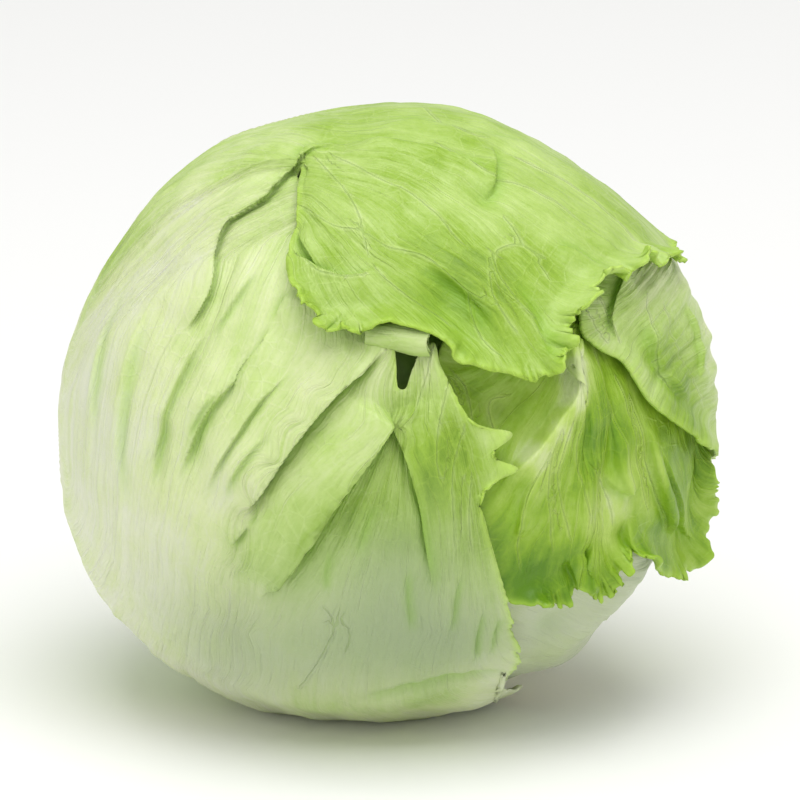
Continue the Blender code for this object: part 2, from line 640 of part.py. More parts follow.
# Base leaf: low on the right, mostly the thick white foot of its rib
BASE_RIB = [by_stem(335), front(50.0, -57.0), front(62.0, -39.0), front(70.0, -16.0), front(72.0, 4.0)]
BASE_MARGIN = [
    edge(by_stem(302), 0.0),
    edge(by_stem(276, 25), 0.17),
    edge(turned(338, 110), 0.35, 0.2, 0.2),
    edge(turned(352, 106), 0.60, 0.2, 0.2),
    edge(turned(8, 96), 0.85),
    edge(front(70.0, 16.0), 1.0),
]
BASE_OTHER_MARGIN = [
    edge(by_stem(18), 0.0),
    edge(front(24.0, -60.0), 0.12),
    edge(front(20.0, -48.0), 0.25),
    edge(front(24.0, -32.0), 0.40),
    edge(front(33.0, -14.0), 0.60),
    edge(front(50.0, 6.0), 0.85),
    edge(front(70.0, 16.0), 1.0),
]
BASE_FOOT = [by_stem(340, 16), front(44.0, -60.0), front(53.0, -52.0), front(58.0, -44.0)]


def base_shape(d, at):
    foot = ridge(d, BASE_FOOT, 3.2, 10.0, ends=(0.02, 0.3))
    return DEEP + hollow(d) + foot + dent(d, front(41.5, -55.0), 1.4, 5.0)


# Back leaf: its rib runs from the stem up the middle of the back
BACK_RIB = [
    by_stem(182),
    by_stem(188, 33),
    turned(318, 165),
    turned(90, 168),
    turned(90, 146),
    turned(90, 124),
    turned(90, 108),
]
BACK_MARGIN = [
    edge(by_stem(130), 0.0),
    edge(by_stem(114, 30), 0.10),
    edge(by_stem(113, 49), 0.22),
    edge(turned(222, 124), 0.35, 0.0, 0.3),
    edge(turned(195, 128), 0.50, 0.0, 0.3),
    edge(turned(165, 126), 0.65, 0.0, 0.3),
    edge(turned(135, 118), 0.80, 0.0, 0.3),
    edge(turned(110, 106), 0.92),
    edge(turned(90, 98), 1.0),
]
BACK_OTHER_MARGIN = [
    edge(by_stem(229), 0.0),
    edge(by_stem(213, 36), 0.14),
    edge(by_stem(218, 51), 0.28),
    edge(by_stem(227, 66), 0.45),
    edge(by_stem(236, 84), 0.62),
    edge(turned(54, 109), 0.80),
    edge(turned(75, 99), 0.93),
    edge(turned(90, 98), 1.0),
]


def back_shape(d, at):
    rib = ridge(d, BACK_RIB[:5], 2.6, 7.0, ends=(0.03, 0.45))
    veins = 0.0
    for tip in (turned(215, 150), turned(150, 152), turned(20, 150)):
        veins = veins + ridge(d, [turned(315, 150), unit(turned(318, 165) + tip), tip], 0.8, 4.0, ends=(0.3, 0.4))
    return UNDER + rib + veins


LEAVES = {
    "outer_leaf": {
        "rib": OUTER_RIB,
        "margin": OUTER_MARGIN,
        "other_margin": OUTER_OTHER_MARGIN,
        "waist": OUTER_WAIST,
        "shape": outer_shape,
        "layer": OVER,
        "triangles": 2300,
        "rows": 420,
        "colour": (0.52, 0.70, 0.22),
    },
    "shoulder_leaf": {
        "rib": SHOULDER_RIB,
        "margin": SHOULDER_MARGIN,
        "other_margin": SHOULDER_OTHER_MARGIN,
        "shape": shoulder_shape,
        "layer": WRAP,
        "triangles": 760,
        "rows": 200,
        "colour": (0.50, 0.65, 0.26),
    },
    "right_leaf": {
        "rib": RIGHT_RIB,
        "margin": RIGHT_MARGIN,
        "other_margin": RIGHT_OTHER_MARGIN,
        "shape": right_shape,
        "layer": UNDER,
        "triangles": 1100,
        "rows": 260,
        "colour": (0.28, 0.46, 0.08),
    },
    "back_leaf": {
        "rib": BACK_RIB,
        "margin": BACK_MARGIN,
        "other_margin": BACK_OTHER_MARGIN,
        "shape": back_shape,
        "layer": UNDER,
        "triangles": 800,
        "rows": 200,
        "colour": (0.55, 0.68, 0.30),
    },
    "base_leaf": {
        "rib": BASE_RIB,
        "margin": BASE_MARGIN,
        "other_margin": BASE_OTHER_MARGIN,
        "shape": base_shape,
        "layer": DEEP,
        "triangles": 420,
        "rows": 120,
        "colour": (0.60, 0.66, 0.40),
    },
}


def heart_height(d):
    """The packed inner leaves: their edges show as low steps, and the stem's pit runs in from below."""
    height = head(d) + HEART + lumps(d, UNEVEN) + hollow(d)
    for clock in INNER_EDGES:
        path = [turned(clock, 60), turned(clock + 25, 95), turned(clock + 70, 120)]
        height = height + pleat(d, path, 1.1, 16.0, wall=3.0, groove=0.6, ends=(0.2, 0.4)) - 0.6
    height = np.minimum(height, table(d, HEART))
    off_axis = np.degrees(np.arccos(np.clip(d @ STEM, -1, 1)))
    pit = (STEM_ROOT - STEM_GAP) / np.cos(np.radians(np.minimum(off_axis, 60.0)))
    return pit + (height - pit) * smooth_step(PIT_FLOOR, PIT_RIM, off_axis)


def heart_mesh():
    """A half circle turned about the stem's axis, then raised to the heart's own height."""
    rings = [0.0, 10.0, PIT_FLOOR - 0.2] + list(np.linspace(PIT_RIM, 180.0, HEART_RINGS))
    bm = bmesh.new()
    profile = []
    for ring in rings:
        profile.append(bm.verts.new(by_stem(0, ring)))
    for a, b in zip(profile, profile[1:]):
        bm.edges.new((a, b))
    bmesh.ops.spin(
        bm, geom=bm.verts[:] + bm.edges[:], cent=(0, 0, 0), axis=STEM, angle=2 * math.pi, steps=HEART_SIDES,
        use_merge=True,
    )
    bmesh.ops.remove_doubles(bm, verts=bm.verts, dist=SEAM / HEAD_DEPTH)
    d = unit(np.array([v.co for v in bm.verts]))
    for vert, way, height in zip(bm.verts, d, heart_height(d)):
        vert.co = (CENTRE + way * height) * MM
    bmesh.ops.triangulate(bm, faces=bm.faces)
    bmesh.ops.recalc_face_normals(bm, faces=bm.faces)
    mesh = bpy.data.meshes.new("heart")
    bm.to_mesh(mesh)
    bm.free()
    return mesh


def stem_mesh():
    """The stem is a short cone, cut square at its wide end."""
    bm = bmesh.new()
    bmesh.ops.create_cone(
        bm, cap_ends=True, segments=STEM_SIDES, radius1=STEM_CUT_RADIUS * MM, radius2=STEM_ROOT_RADIUS * MM,
        depth=(STEM_CUT - STEM_ROOT) * MM,
    )
    frame = np.column_stack([STEM_FRONT, np.cross(-STEM, STEM_FRONT), -STEM])
    middle = CENTRE + STEM * (STEM_CUT + STEM_ROOT) / 2
    for vert in bm.verts:
        vert.co = frame @ np.array(vert.co) + middle * MM
    bmesh.ops.recalc_face_normals(bm, faces=bm.faces)
    mesh = bpy.data.meshes.new("stem")
    bm.to_mesh(mesh)
    bm.free()
    return mesh


def main():
    for obj in list(bpy.data.objects):
        bpy.data.objects.remove(obj, do_unlink=True)
    collection = bpy.data.collections.new("iceberg_lettuce_head")
    bpy.context.scene.collection.children.link(collection)
    place_object("stem", stem_mesh(), material("cut stem", (0.62, 0.60, 0.42), 0.6), collection)
    place_object("heart", heart_mesh(), material("heart leaves", (0.45, 0.58, 0.20), 0.6), collection)
    for name, leaf in LEAVES.items():
        sheet = leaf_sheet(name, leaf, rows=leaf["rows"])
        mesh = thicken(thin_out(sheet, leaf["triangles"]), BLADE)
        place_object(name, mesh, material(name.replace("_", " "), leaf["colour"], 0.5), collection)


main()
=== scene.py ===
# An iceberg lettuce head on a pale table: wrapped leaves with veins, folds and frilled margins.
import math

import bmesh
import bpy
import numpy as np
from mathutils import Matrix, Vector


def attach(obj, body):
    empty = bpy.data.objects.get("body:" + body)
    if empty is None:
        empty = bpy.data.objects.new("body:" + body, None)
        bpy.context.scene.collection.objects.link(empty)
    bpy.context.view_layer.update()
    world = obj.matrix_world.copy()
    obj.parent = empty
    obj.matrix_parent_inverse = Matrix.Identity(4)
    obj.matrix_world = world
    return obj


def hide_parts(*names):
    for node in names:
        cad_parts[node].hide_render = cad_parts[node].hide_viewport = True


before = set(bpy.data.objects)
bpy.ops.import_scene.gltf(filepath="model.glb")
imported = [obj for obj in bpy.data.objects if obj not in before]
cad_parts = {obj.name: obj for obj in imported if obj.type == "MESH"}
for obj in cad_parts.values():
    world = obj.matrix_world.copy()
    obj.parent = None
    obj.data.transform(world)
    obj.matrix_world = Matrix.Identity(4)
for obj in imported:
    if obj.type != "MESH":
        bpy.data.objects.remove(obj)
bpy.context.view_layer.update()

# Shapes are worked out in millimetres round the head's centre, and become metres in a mesh.
mm = 0.001

headSizes = {
    "viewTilt": 16.0,  # degrees that the front is seen from above
    "centreHeight": 71.0,
    "depth": 77.0,  # radius towards the front and the back
    # radius every 30 degrees round the outline, from the right
    "girth": (80.0, 79.0, 75.4, 75.4, 78.8, 79.2, 81.4, 84.2, 81.0, 77.0, 76.5, 79.4),
    "stemClock": 302.0,
    "stemTurn": 108.0,
    "uneven": 0.5,
    "pictureMiddle": (388, 412),  # the head's centre in the 800 pixel picture
    "pixel": 0.2413,
}
# mm that each layer of leaf lies outside the head's outline
layers = {"over": 0.0, "wrap": -2.2, "under": -4.4, "deep": -6.6}
marginSizes = {
    "band": 7.0,  # width of the strip along a margin that ruffles and teeth ride on
    "narrowBand": 1.5,
    "bandColumns": 0.14,  # share of the columns in it
    "step": 0.4,  # mm between worked out places of a margin
    "smooth": 16.0,
    "liftReach": 5.0,
    "rim": 1.1,  # width of the painted highlight along a lifted margin
    "seam": 0.02,
    "rimTriangles": 1500,
}
narrow = marginSizes["narrowBand"]
leafFoot = 14.6  # degrees round the stem's axis where the leaves start

tilt = math.radians(headSizes["viewTilt"])
right = np.array((1.0, 0.0, 0.0))
up = np.array((0.0, math.sin(tilt), math.cos(tilt)))
toward = np.array((0.0, -math.cos(tilt), math.sin(tilt)))
centre = np.array((0.0, 0.0, headSizes["centreHeight"]))
depth = headSizes["depth"]


def unit(v):
    return v / np.maximum(np.linalg.norm(v, axis=-1, keepdims=True), 1e-9)


def smoothStep(low, high, x):
    t = np.clip((x - low) / (high - low), 0, 1)
    return t * t * (3 - 2 * t)


def bell(x, width):
    return np.exp(-((x / width) ** 2))


def mmFrom(d, at):
    return np.linalg.norm(d - at, axis=1) * depth


def spline(a, b, c, d, f):
    # smooth way from b to c, with a and d as their neighbours
    return 0.5 * (2 * b + (c - a) * f + (2 * a - 5 * b + 4 * c - d) * f**2 + (3 * b - a - 3 * c + d) * f**3)


def noiseLine(x, seed):
    # smooth random numbers along a line, from -1 to 1
    lattice = np.random.default_rng(seed).uniform(-1, 1, 1024)
    i = np.floor(x).astype(int)
    t = x - i
    t = t * t * (3 - 2 * t)
    return lattice[i % 1024] * (1 - t) + lattice[(i + 1) % 1024] * t


def girth(clock):
    radii = np.array(headSizes["girth"])
    t = (clock / (2 * math.pi) * len(radii)) % len(radii)
    i = np.floor(t).astype(int)
    return spline(*(radii[(i + k) % len(radii)] for k in (-1, 0, 1, 2)), t - i)


def headHeight(d):
    x, y = d @ right, d @ up
    return depth + (girth(np.arctan2(y, x)) - depth) * (x * x + y * y)


def tableHeight(d, layer):
    # where a layer meets its flat resting spot
    return (headSizes["centreHeight"] + layer) / np.maximum(-d[:, 2], 1e-3)


def front(x, y):
    # direction of a place seen x mm right of and y mm above the head's centre
    flat = x * right + y * up
    d = unit(flat + depth / 2 * toward)
    for _ in range(12):
        reach = min(float(headHeight(d[None])[0]), float(tableHeight(d[None], 0.0)[0]))
        d = unit(flat + math.sqrt(max(reach**2 - x * x - y * y, 0.01)) * toward)
    return d


def seen(x, y):
    # the same from a place in the picture
    middle = headSizes["pictureMiddle"]
    return front((x - middle[0]) * headSizes["pixel"], (middle[1] - y) * headSizes["pixel"])


def trace(*path):
    # places in the picture, as x, y, x, y and so on
    return [seen(x, y) for x, y in zip(path[::2], path[1::2])]


def turned(clock, turn):
    # direction so many degrees away from the view, towards that clock angle from the right
    c, t = math.radians(clock), math.radians(turn)
    return math.sin(t) * (math.cos(c) * right + math.sin(c) * up) + math.cos(t) * toward


stemAxis = turned(headSizes["stemClock"], headSizes["stemTurn"])
stemFront = unit(toward - (toward @ stemAxis) * stemAxis)
stemLeft = np.cross(stemAxis, stemFront)


def byStem(around, away):
    # direction so many degrees away from the stem's axis, and round it from the front
    a, w = math.radians(around), math.radians(away)
    return math.cos(w) * stemAxis + math.sin(w) * (math.cos(a) * stemFront + math.sin(a) * stemLeft)


def points(way, *places):
    return [way(*place) for place in places]


def edges(way, *places):
    # margin places: two numbers for the direction, the share of the rib's length, then optional sizes
    return [edge(way(*place[:2]), *place[2:]) for place in places]


def edge(place, start, lift=0.0, frill=0.0, band=marginSizes["band"], tooth=0.0):
    return (*place, start, lift, frill, band, tooth)


def curve(places, steps=20):
    p = np.asarray(places, float)
    p = np.vstack([p[:1], p, p[-1:]])
    f = np.linspace(0, 1, steps, endpoint=False)[:, None]
    return np.vstack([spline(*four, f) for four in zip(p, p[1:], p[2:], p[3:])] + [p[-1:]])


def lengths(line):
    return np.concatenate([[0.0], np.cumsum(np.linalg.norm(np.diff(line, axis=0), axis=1))])


def readAt(at, where, rows):
    return np.stack([np.interp(at, where, rows[:, k]) for k in range(rows.shape[1])], axis=1)


# Folds: each adds to the height of the places near its path, and may push them sideways so that it overhangs.
# Each also lays painted shade, a deeper green, along its crease, as much as its shade says.
class Relief:
    def __init__(self, d, net=None):
        self.d, self.net = d, net
        self.height = np.zeros(len(d))
        self.shift = np.zeros((len(d), 3))
        self.hollowShade = np.zeros(len(d))

    def beside(self, path, reach, steps=30):
        # places within reach, how far left of the path they are, how far along, and which way is right
        line = curve(path)
        at = lengths(line)
        line = unit(readAt(np.linspace(0, at[-1], steps), at, line)) * depth
        middle = unit(line.mean(axis=0))
        widest = math.acos(min(1, float(np.min(unit(line) @ middle)))) + reach / depth
        near = np.nonzero(self.d @ middle > math.cos(min(widest, 3.1)))[0]
        p = self.d[near] * depth
        best = np.full(len(p), 1e9)
        side = np.ones(len(p))
        along = np.zeros(len(p))
        away = np.zeros((len(p), 3))
        for i, (a, b) in enumerate(zip(line, line[1:])):
            step = b - a
            t = np.clip((p - a) @ step / (step @ step), 0, 1)
            gap = p - a - t[:, None] * step
            far = np.linalg.norm(gap, axis=1)
            closer = far < best
            best = np.where(closer, far, best)
            left = np.cross(a, step)
            left = left / np.linalg.norm(left)
            side = np.where(closer, np.sign(gap @ left), side)
            along = np.where(closer, (i + t) / (steps - 1), along)
            away[closer] = -left
        return near, best * side, along, away

    def pleat(self, path, height, reach, wall, groove, ends, lap, share=1.0, shade=1.0):
        # raised to the left of its path, with a steep wall on the right whose lip may lap over
        near, left, along, away = self.beside(path, reach + 4 * wall)
        share = share[near] if np.ndim(share) else share
        fade = smoothStep(0, ends[0], along) * smoothStep(0, ends[1], 1 - along) * share
        high = height * (1 - smoothStep(0, reach, left))
        low = -groove * bell(np.maximum(-left - wall, 0), 2.2 * wall)
        lip = bell(np.maximum(left, 0), 3.0) * smoothStep(-0.8 * wall, 0, left)
        # painted shade at the foot of the wall, in the crease
        footShade = bell(left + wall * 1.1, 0.7 * wall + 0.5) * shade
        self.height[near] += (low + (high - low) * smoothStep(-wall, 0, left)) * fade
        self.shift[near] += away * (lap * lip * fade)[:, None]
        self.hollowShade[near] += footShade * fade

    def ridge(self, path, height, width, ends=(0.3, 0.3), share=1.0, shade=0.0):
        near, left, along, _ = self.beside(path, 3 * width)
        share = share[near] if np.ndim(share) else share
        shape = bell(left, width) * smoothStep(0, ends[0], along) * smoothStep(0, ends[1], 1 - along)
        self.height[near] += height * shape * share
        self.hollowShade[near] += -shade * shape * share

    def dent(self, at, amount, size, share=1.0, shade=0.0):
        shape = bell(mmFrom(self.d, at), size) * share
        self.height -= amount * shape
        self.hollowShade += shade * shape


def lumps(d, height):
    x, y, z = (d * 5.2).T
    return height * (np.sin(x + 1.3 * np.sin(y)) + np.sin(1.1 * y - z + 0.6) + np.sin(1.3 * z + x - 1.1)) / 3


def noiseField(p, seed):
    # smooth random numbers in space, from -1 to 1, one lattice step apart
    cell = np.floor(p).astype(int)
    f = p - cell
    f = f * f * (3 - 2 * f)
    lattice = np.random.default_rng(seed).uniform(-1, 1, (32, 32, 32))
    total = np.zeros(len(p))
    for corner in np.ndindex(2, 2, 2):
        weight = np.prod(np.where(corner, f, 1 - f), axis=1)
        index = (cell + corner) % 32
        total += weight * lattice[index[:, 0], index[:, 1], index[:, 2]]
    return total


puckerSizes = {
    "blisters": ((7.5, 0.30, 5), (3.4, 0.11, 6)),  # mm apart, height in mm, seed
    "rippleAcross": 5.0,
    "rippleAlong": 26.0,
    "ripples": ((1.0, 0.42, 3), (2.3, 0.16, 4)),  # how much finer, height in mm, seed
    "quiet": 0.7,  # how much flatter the surface is along a margin
    "quietWidth": 3.0,
}


def puckers(d, net, leaf):
    # the uneven surface of crisp leaf: ripples along the fibres and small blisters between them
    s = puckerSizes
    across, along = net["acrossFibre"] / s["rippleAcross"], net["alongFibre"] / s["rippleAlong"]
    stripes = np.stack([across, along, np.zeros(len(d))], axis=1)
    blisters = sum(noiseField(d * depth / apart, seed) * height for apart, height, seed in s["blisters"])
    ripples = sum(noiseField(stripes * finer, seed) * height for finer, height, seed in s["ripples"])
    quiet = 1 - s["quiet"] * (1 - smoothStep(0.0, s["quietWidth"], net["toEdge"])) * net["fromInner"]
    return leaf["puckers"] * (blisters + ripples) * quiet


def levelField(curves, values, d):
    # a smooth number over the head that has a given value on each curve: its level lines are the fibres
    lines = [unit(curve(trace(*c), 3))[::2] for c in curves]
    places = np.vstack(lines)
    wanted = np.concatenate([[v] * len(line) for line, v in zip(lines, values)])
    apart = np.linalg.norm(places[:, None] - places[None], axis=2)
    weights = np.linalg.solve(apart + 1e-3 * np.eye(len(places)), wanted - np.mean(wanted))
    total = np.full(len(d), np.mean(wanted))
    for point, weight in zip(places, weights):
        total += weight * np.linalg.norm(d - point, axis=1)
    return total


def hollow(relief, shade=0.0):
    relief.dent(front(23.0, 4.0), 3.2, 12.0, shade=shade)
    relief.dent(front(29.0, -6.0), 2.8, 10.0, shade=shade * 0.5)


# Margins and the net of places between them and the rib
def runningMean(rows, span):
    count = int(span / marginSizes["step"]) | 1
    padded = np.pad(rows, ((count // 2, count // 2), (0, 0)), "edge")
    return np.stack([np.convolve(padded[:, k], np.ones(count) / count, "valid") for k in range(3)], axis=1)


toothSizes = {
    "apart": 1.9, "depthVaries": 6.0, "notch": 0.5, "notchApart": 3.0, "lobe": 1.2,
    "lobeLength": 0.6,  # share of a ruffle's length
}


def marginLines(leaf, ribMiddle):
    sides = []
    for row in (leaf["margin"], leaf["otherMargin"]):
        line = curve(row)
        at = lengths(unit(line[:, :3]) * depth)
        even = np.linspace(0, at[-1], int(at[-1] / marginSizes["step"]))
        line = readAt(even, at, line)
        line[:, :3] = unit(line[:, :3])
        line[:, 3] = np.maximum.accumulate(line[:, 3])
        sides.append((even, line))
    whole = np.vstack([sides[0][1], sides[1][1][-2::-1]])
    band = narrow + (whole[:, 6:7] - narrow) * smoothStep(0, 0.1, whole[:, 3:4])
    smoothed = runningMean(whole[:, :3], marginSizes["smooth"])
    evened = unit(whole[:, :3] + (smoothed - whole[:, :3]) * smoothStep(narrow, 4.0, band))
    inward = unit(runningMean(unit(np.cross(evened, np.gradient(evened, axis=0))), marginSizes["band"]))
    turn = np.sign(np.sum(inward * (ribMiddle - evened)))
    inner = unit(evened * depth + turn * inward * band)
    travel = np.arange(len(whole)) * marginSizes["step"]
    # small teeth, pointed outwards, where the margin is frilled
    s, seed = toothSizes, leaf["seed"]
    pointed = (1 - np.abs(noiseLine(travel / s["apart"], seed))) ** 3
    pointed = pointed * (0.6 + 0.6 * noiseLine(travel / s["depthVaries"], 7))
    lobes = s["lobe"] * noiseLine(travel / (s["lobeLength"] * leaf["ruffle"]), seed + 5)
    lobes = lobes + s["notch"] * noiseLine(travel / s["notchApart"], 6)
    uneven = leaf["teeth"] * pointed + lobes * smoothStep(3.0, 6.0, band[:, 0])
    tooth = whole[:, 7] + uneven * smoothStep(0.0, 0.6, whole[:, 5])
    whole[:, :3] = unit(whole[:, :3] * depth - turn * inward * tooth[:, None])
    count = len(sides[0][1])
    sides[0][1][:, :3] = whole[:count, :3]
    sides[1][1][:, :3] = whole[: count - 2 : -1, :3]
    return (*sides[0], inner[:count]), (*sides[1], inner[: count - 2 : -1])


def across(rib, waist, inner, margin, f):
    a = np.linalg.norm(waist - rib, axis=1, keepdims=True) + 1e-6
    b = np.linalg.norm(inner - waist, axis=1, keepdims=True) + 1e-6
    split = 1 - marginSizes["bandColumns"]
    g = np.clip(f / split, 0, 1)[:, None]
    turnAt = a / (a + b)
    slope = ((waist - rib) / a * b + (inner - waist) / b * a) / (a + b)
    h = np.clip(g / turnAt, 0, 1)
    k = np.clip((g - turnAt) / (1 - turnAt), 0, 1)

    def hermite(p, m, q, n, t):
        start = (2 * t**3 - 3 * t**2 + 1) * p + (t**3 - 2 * t**2 + t) * m
        return start + (3 * t**2 - 2 * t**3) * q + (t**3 - t**2) * n

    first = hermite(rib, waist - rib, waist, slope * np.minimum(a, 2 * b), h)
    second = hermite(waist, slope * b, inner, inner - waist, k)
    body = np.where(g < turnAt, first, second)
    last = np.clip((f - split) / marginSizes["bandColumns"], 0, 1)[:, None]
    return unit(np.where(last > 0, inner + (margin - inner) * last, body))


def eased(net, share, rounds):
    for _ in range(rounds):
        between = unit(net[1:-1, 2:] + net[1:-1, :-2] + net[2:, 1:-1] + net[:-2, 1:-1])
        net[1:-1, 1:-1] = unit(net[1:-1, 1:-1] + (between - net[1:-1, 1:-1]) * share)
    return net


def leafNet(leaf):
    # rows follow the margin and cross the leaf along its fibres; columns run from the far margin over the rib
    rib = curve(leaf["rib"])
    ribAt = lengths(unit(rib))
    ribAt = ribAt / ribAt[-1]
    (even, line, lineInner), (otherEven, other, otherInner) = marginLines(leaf, unit(np.mean(rib, axis=0)))
    rows, columns, otherColumns = leaf["rows"], leaf["columns"], leaf["otherColumns"]
    # rows stand closer where the margin faces the front
    evenMiddle = unit(readAt(line[:, 3], ribAt, rib))
    halfWay = unit(evenMiddle + unit(lineInner))
    steps = [np.linalg.norm(np.gradient(way, axis=0), axis=1) for way in (line[:, :3], halfWay, evenMiddle)]
    weight = 0.3 * steps[0] + 0.5 * np.maximum(steps[0], steps[1]) + 0.2 * steps[2]
    weight = weight * (0.3 + 0.7 * smoothStep(-0.35, 0.1, np.maximum(line[:, :3] @ toward, halfWay @ toward)))
    share = np.concatenate([[0.0], np.cumsum(weight[1:])])
    along = np.interp(np.linspace(0, share[-1], rows + 1), share, even)
    f = np.concatenate([1 - np.arange(otherColumns) / otherColumns, np.arange(columns + 1) / columns])
    onLine = np.arange(len(f)) >= otherColumns
    shape = (len(f), rows + 1)
    along, f = (a.ravel() for a in np.broadcast_arrays(along[None], f[:, None]))
    onLine = np.broadcast_to(onLine[:, None], shape).ravel()

    edgeLine = readAt(along, even, line)
    start = edgeLine[:, 3]
    otherStart = other[:, 3] + np.linspace(0, 1e-6, len(other))
    here = np.where(onLine[:, None], edgeLine, readAt(start, otherStart, other))
    otherInner = readAt(start, otherStart, otherInner)
    inner = unit(np.where(onLine[:, None], readAt(along, even, lineInner), otherInner))
    middle = unit(readAt(start, ribAt, rib))
    waist = unit(middle + inner)
    towardEdge = np.zeros(len(start))
    if "waist" in leaf:
        gather = np.array(leaf["waist"])
        gathered = unit(readAt(start, gather[:, 3], gather[:, :3]))
        towardEdge = smoothStep(gather[0, 3] - 0.22, gather[0, 3] - 0.04, start) * onLine
        waist = unit(middle + inner * (1 + 8 * towardEdge[:, None]))
        share = smoothStep(gather[0, 3] - 0.05, gather[0, 3], start) * onLine
        waist = unit(waist + (gathered - waist) * share[:, None])
    d = across(middle, waist, inner, unit(here[:, :3]), f).reshape(*shape, 3)
    easy = (1 - towardEdge) * smoothStep(narrow, 3.0, here[:, 6]) * (1 - smoothStep(0.92, 1.0, start))
    d = eased(d, easy.reshape(*shape, 1)[1:-1, 1:-1], leaf["easeRounds"]).reshape(-1, 3)

    band = here[:, 6]
    fromInner = np.clip((f - 1) / marginSizes["bandColumns"] + 1, 0, 1)
    # a ruffle's phase keeps the seam at the tip closed
    travel = np.where(onLine, along, even[-1] + otherEven[-1] - np.interp(start, otherStart, otherEven))
    acrossFibre = start * leaf["fibreScale"]
    alongFibre = mmFrom(d, unit(middle))
    if "fibres" in leaf:
        acrossFibre, alongFibre = leaf["fibres"](d, start, onLine, f, acrossFibre)
    return {
        "shape": shape, "d": d, "start": start, "f": f, "onLine": onLine, "travel": travel,
        "acrossFibre": acrossFibre, "alongFibre": alongFibre, "toEdge": (1 - fromInner) * band,
        "fromInner": fromInner, "band": band, "lift": here[:, 4], "frill": here[:, 5],
        "outward": unit(unit(here[:, :3]) - inner),
    }


ruffleSizes = {
    # what varies along a margin: by how much, and every how many mm
    "spacing": (0.55, 13.0), "height": (0.5, 11.0), "smallSpacing": (0.6, 5.0), "smallHeight": (0.6, 7.0),
    # how far a ruffle leans along the margin and draws it in, as shares of its height
    "sway": 0.32, "pull": 0.12,
    "small": 2.9, "smallRise": 0.62, "smallSway": 0.4, "smallPull": 0.35,
    "curl": 0.5,  # radians that a frilled margin bends outwards
}


def ruffles(leaf, net):
    # waves that grow towards the margin until they lean over, smaller ones on them, and the margin's own curl
    s, d, travel, seed = ruffleSizes, net["d"], net["travel"], leaf["seed"]

    def varied(key, seed):
        amount, every = s[key]
        return amount * noiseLine(travel / every, seed)

    frill = net["frill"] * smoothStep(-0.97, -0.8, d[:, 2])
    t = net["fromInner"]
    sideways = unit(np.cross(d, net["outward"]))
    phase = 2 * math.pi * (travel / leaf["ruffle"] + varied("spacing", seed + 1))
    size = leaf["ruffleHeight"] * frill * (0.75 + varied("height", seed + 2)) * t**1.4
    small = 2 * math.pi * (travel / s["small"] + varied("smallSpacing", seed + 3))
    smallSize = s["smallRise"] * np.minimum(frill, 1.3) * smoothStep(0.3, 1.0, t)
    smallSize = smallSize * (0.7 + varied("smallHeight", seed + 4))
    rise = size * (0.5 + np.sin(phase)) + smallSize * np.sin(small)
    sway = -s["sway"] * size * np.sin(2 * phase + 0.6) - s["smallSway"] * smallSize * np.sin(2 * small)
    pull = -s["pull"] * size * (1 - np.sin(phase)) + s["smallPull"] * smallSize * np.sin(small + 1)
    angle = s["curl"] * net["frill"]
    for x, y, reach, amount in leaf.get("curls", ()):
        angle = angle + amount * bell(mmFrom(d, seen(x, y)), reach)
    bend = np.maximum(np.abs(angle), 1e-3) * np.where(angle < 0, -1, 1) / np.maximum(net["band"], 1.0)
    out = t * net["band"]
    rise = rise + (1 - np.cos(bend * out)) / bend
    pull = pull + np.sin(bend * out) / bend - out
    return d * rise[:, None] + sideways * sway[:, None] + net["outward"] * pull[:, None]


def curledPlaces(leaf, net):
    # heights, folds and the ruffled, curling margin, as places in mm from the head's centre
    d = net["d"]
    relief = Relief(d, net)
    relief.height += headHeight(d) + lumps(d, headSizes["uneven"])
    leaf["relief"](relief)
    inside = (1 - net["f"]) / marginSizes["bandColumns"] * net["band"]
    near = bell(inside, marginSizes["liftReach"])
    height = relief.height + near * (net["lift"] + 0.3 * net["frill"])
    height += puckers(d, net, leaf)
    height = np.minimum(height, tableHeight(d, layers[leaf["layer"]]))
    place = d * height[:, None]
    place = place + relief.shift + ruffles(leaf, net)
    place[:, 2] = np.maximum(place[:, 2], -(headSizes["centreHeight"] + layers[leaf["layer"]]))
    return place, relief, inside


veinSizes = {"reach": 5.0, "none": 6.0, "thinning": 3.0}


def nearestVein(d, veins):
    # mm to the nearest vein's line, with a sign so that a thin line can be drawn between coarse points
    s = veinSizes
    best = np.full(len(d), s["none"])
    side = np.full(len(d), s["none"])
    relief = Relief(d)
    for path in veins:
        near, left, along, _ = relief.beside(trace(*path), s["reach"], steps=60)
        # a vein thins out to nothing at its end
        far = np.abs(left) + s["thinning"] * smoothStep(0.7, 1.0, along)
        closer = far < best[near]
        best[near[closer]] = far[closer]
        side[near[closer]] = left[closer]
    return side, best


def newPiece(name, data):
    made = bpy.data.objects.new(name, data)
    bpy.context.scene.collection.objects.link(made)
    return made


def newMesh(name, bm):
    mesh = bpy.data.meshes.new(name)
    bm.to_mesh(mesh)
    bm.free()
    return mesh


def setValues(mesh, values):
    for key, value in values.items():
        mesh.attributes.new(key, "FLOAT", "POINT").data.foreach_set("value", value)


def setGrowth(mesh, growth):
    # a UV map of where each place is across and along the fibres
    corners = np.empty(len(mesh.loops), int)
    mesh.loops.foreach_get("vertex_index", corners)
    mesh.uv_layers.new(name="growth").data.foreach_set("uv", growth[corners].ravel())


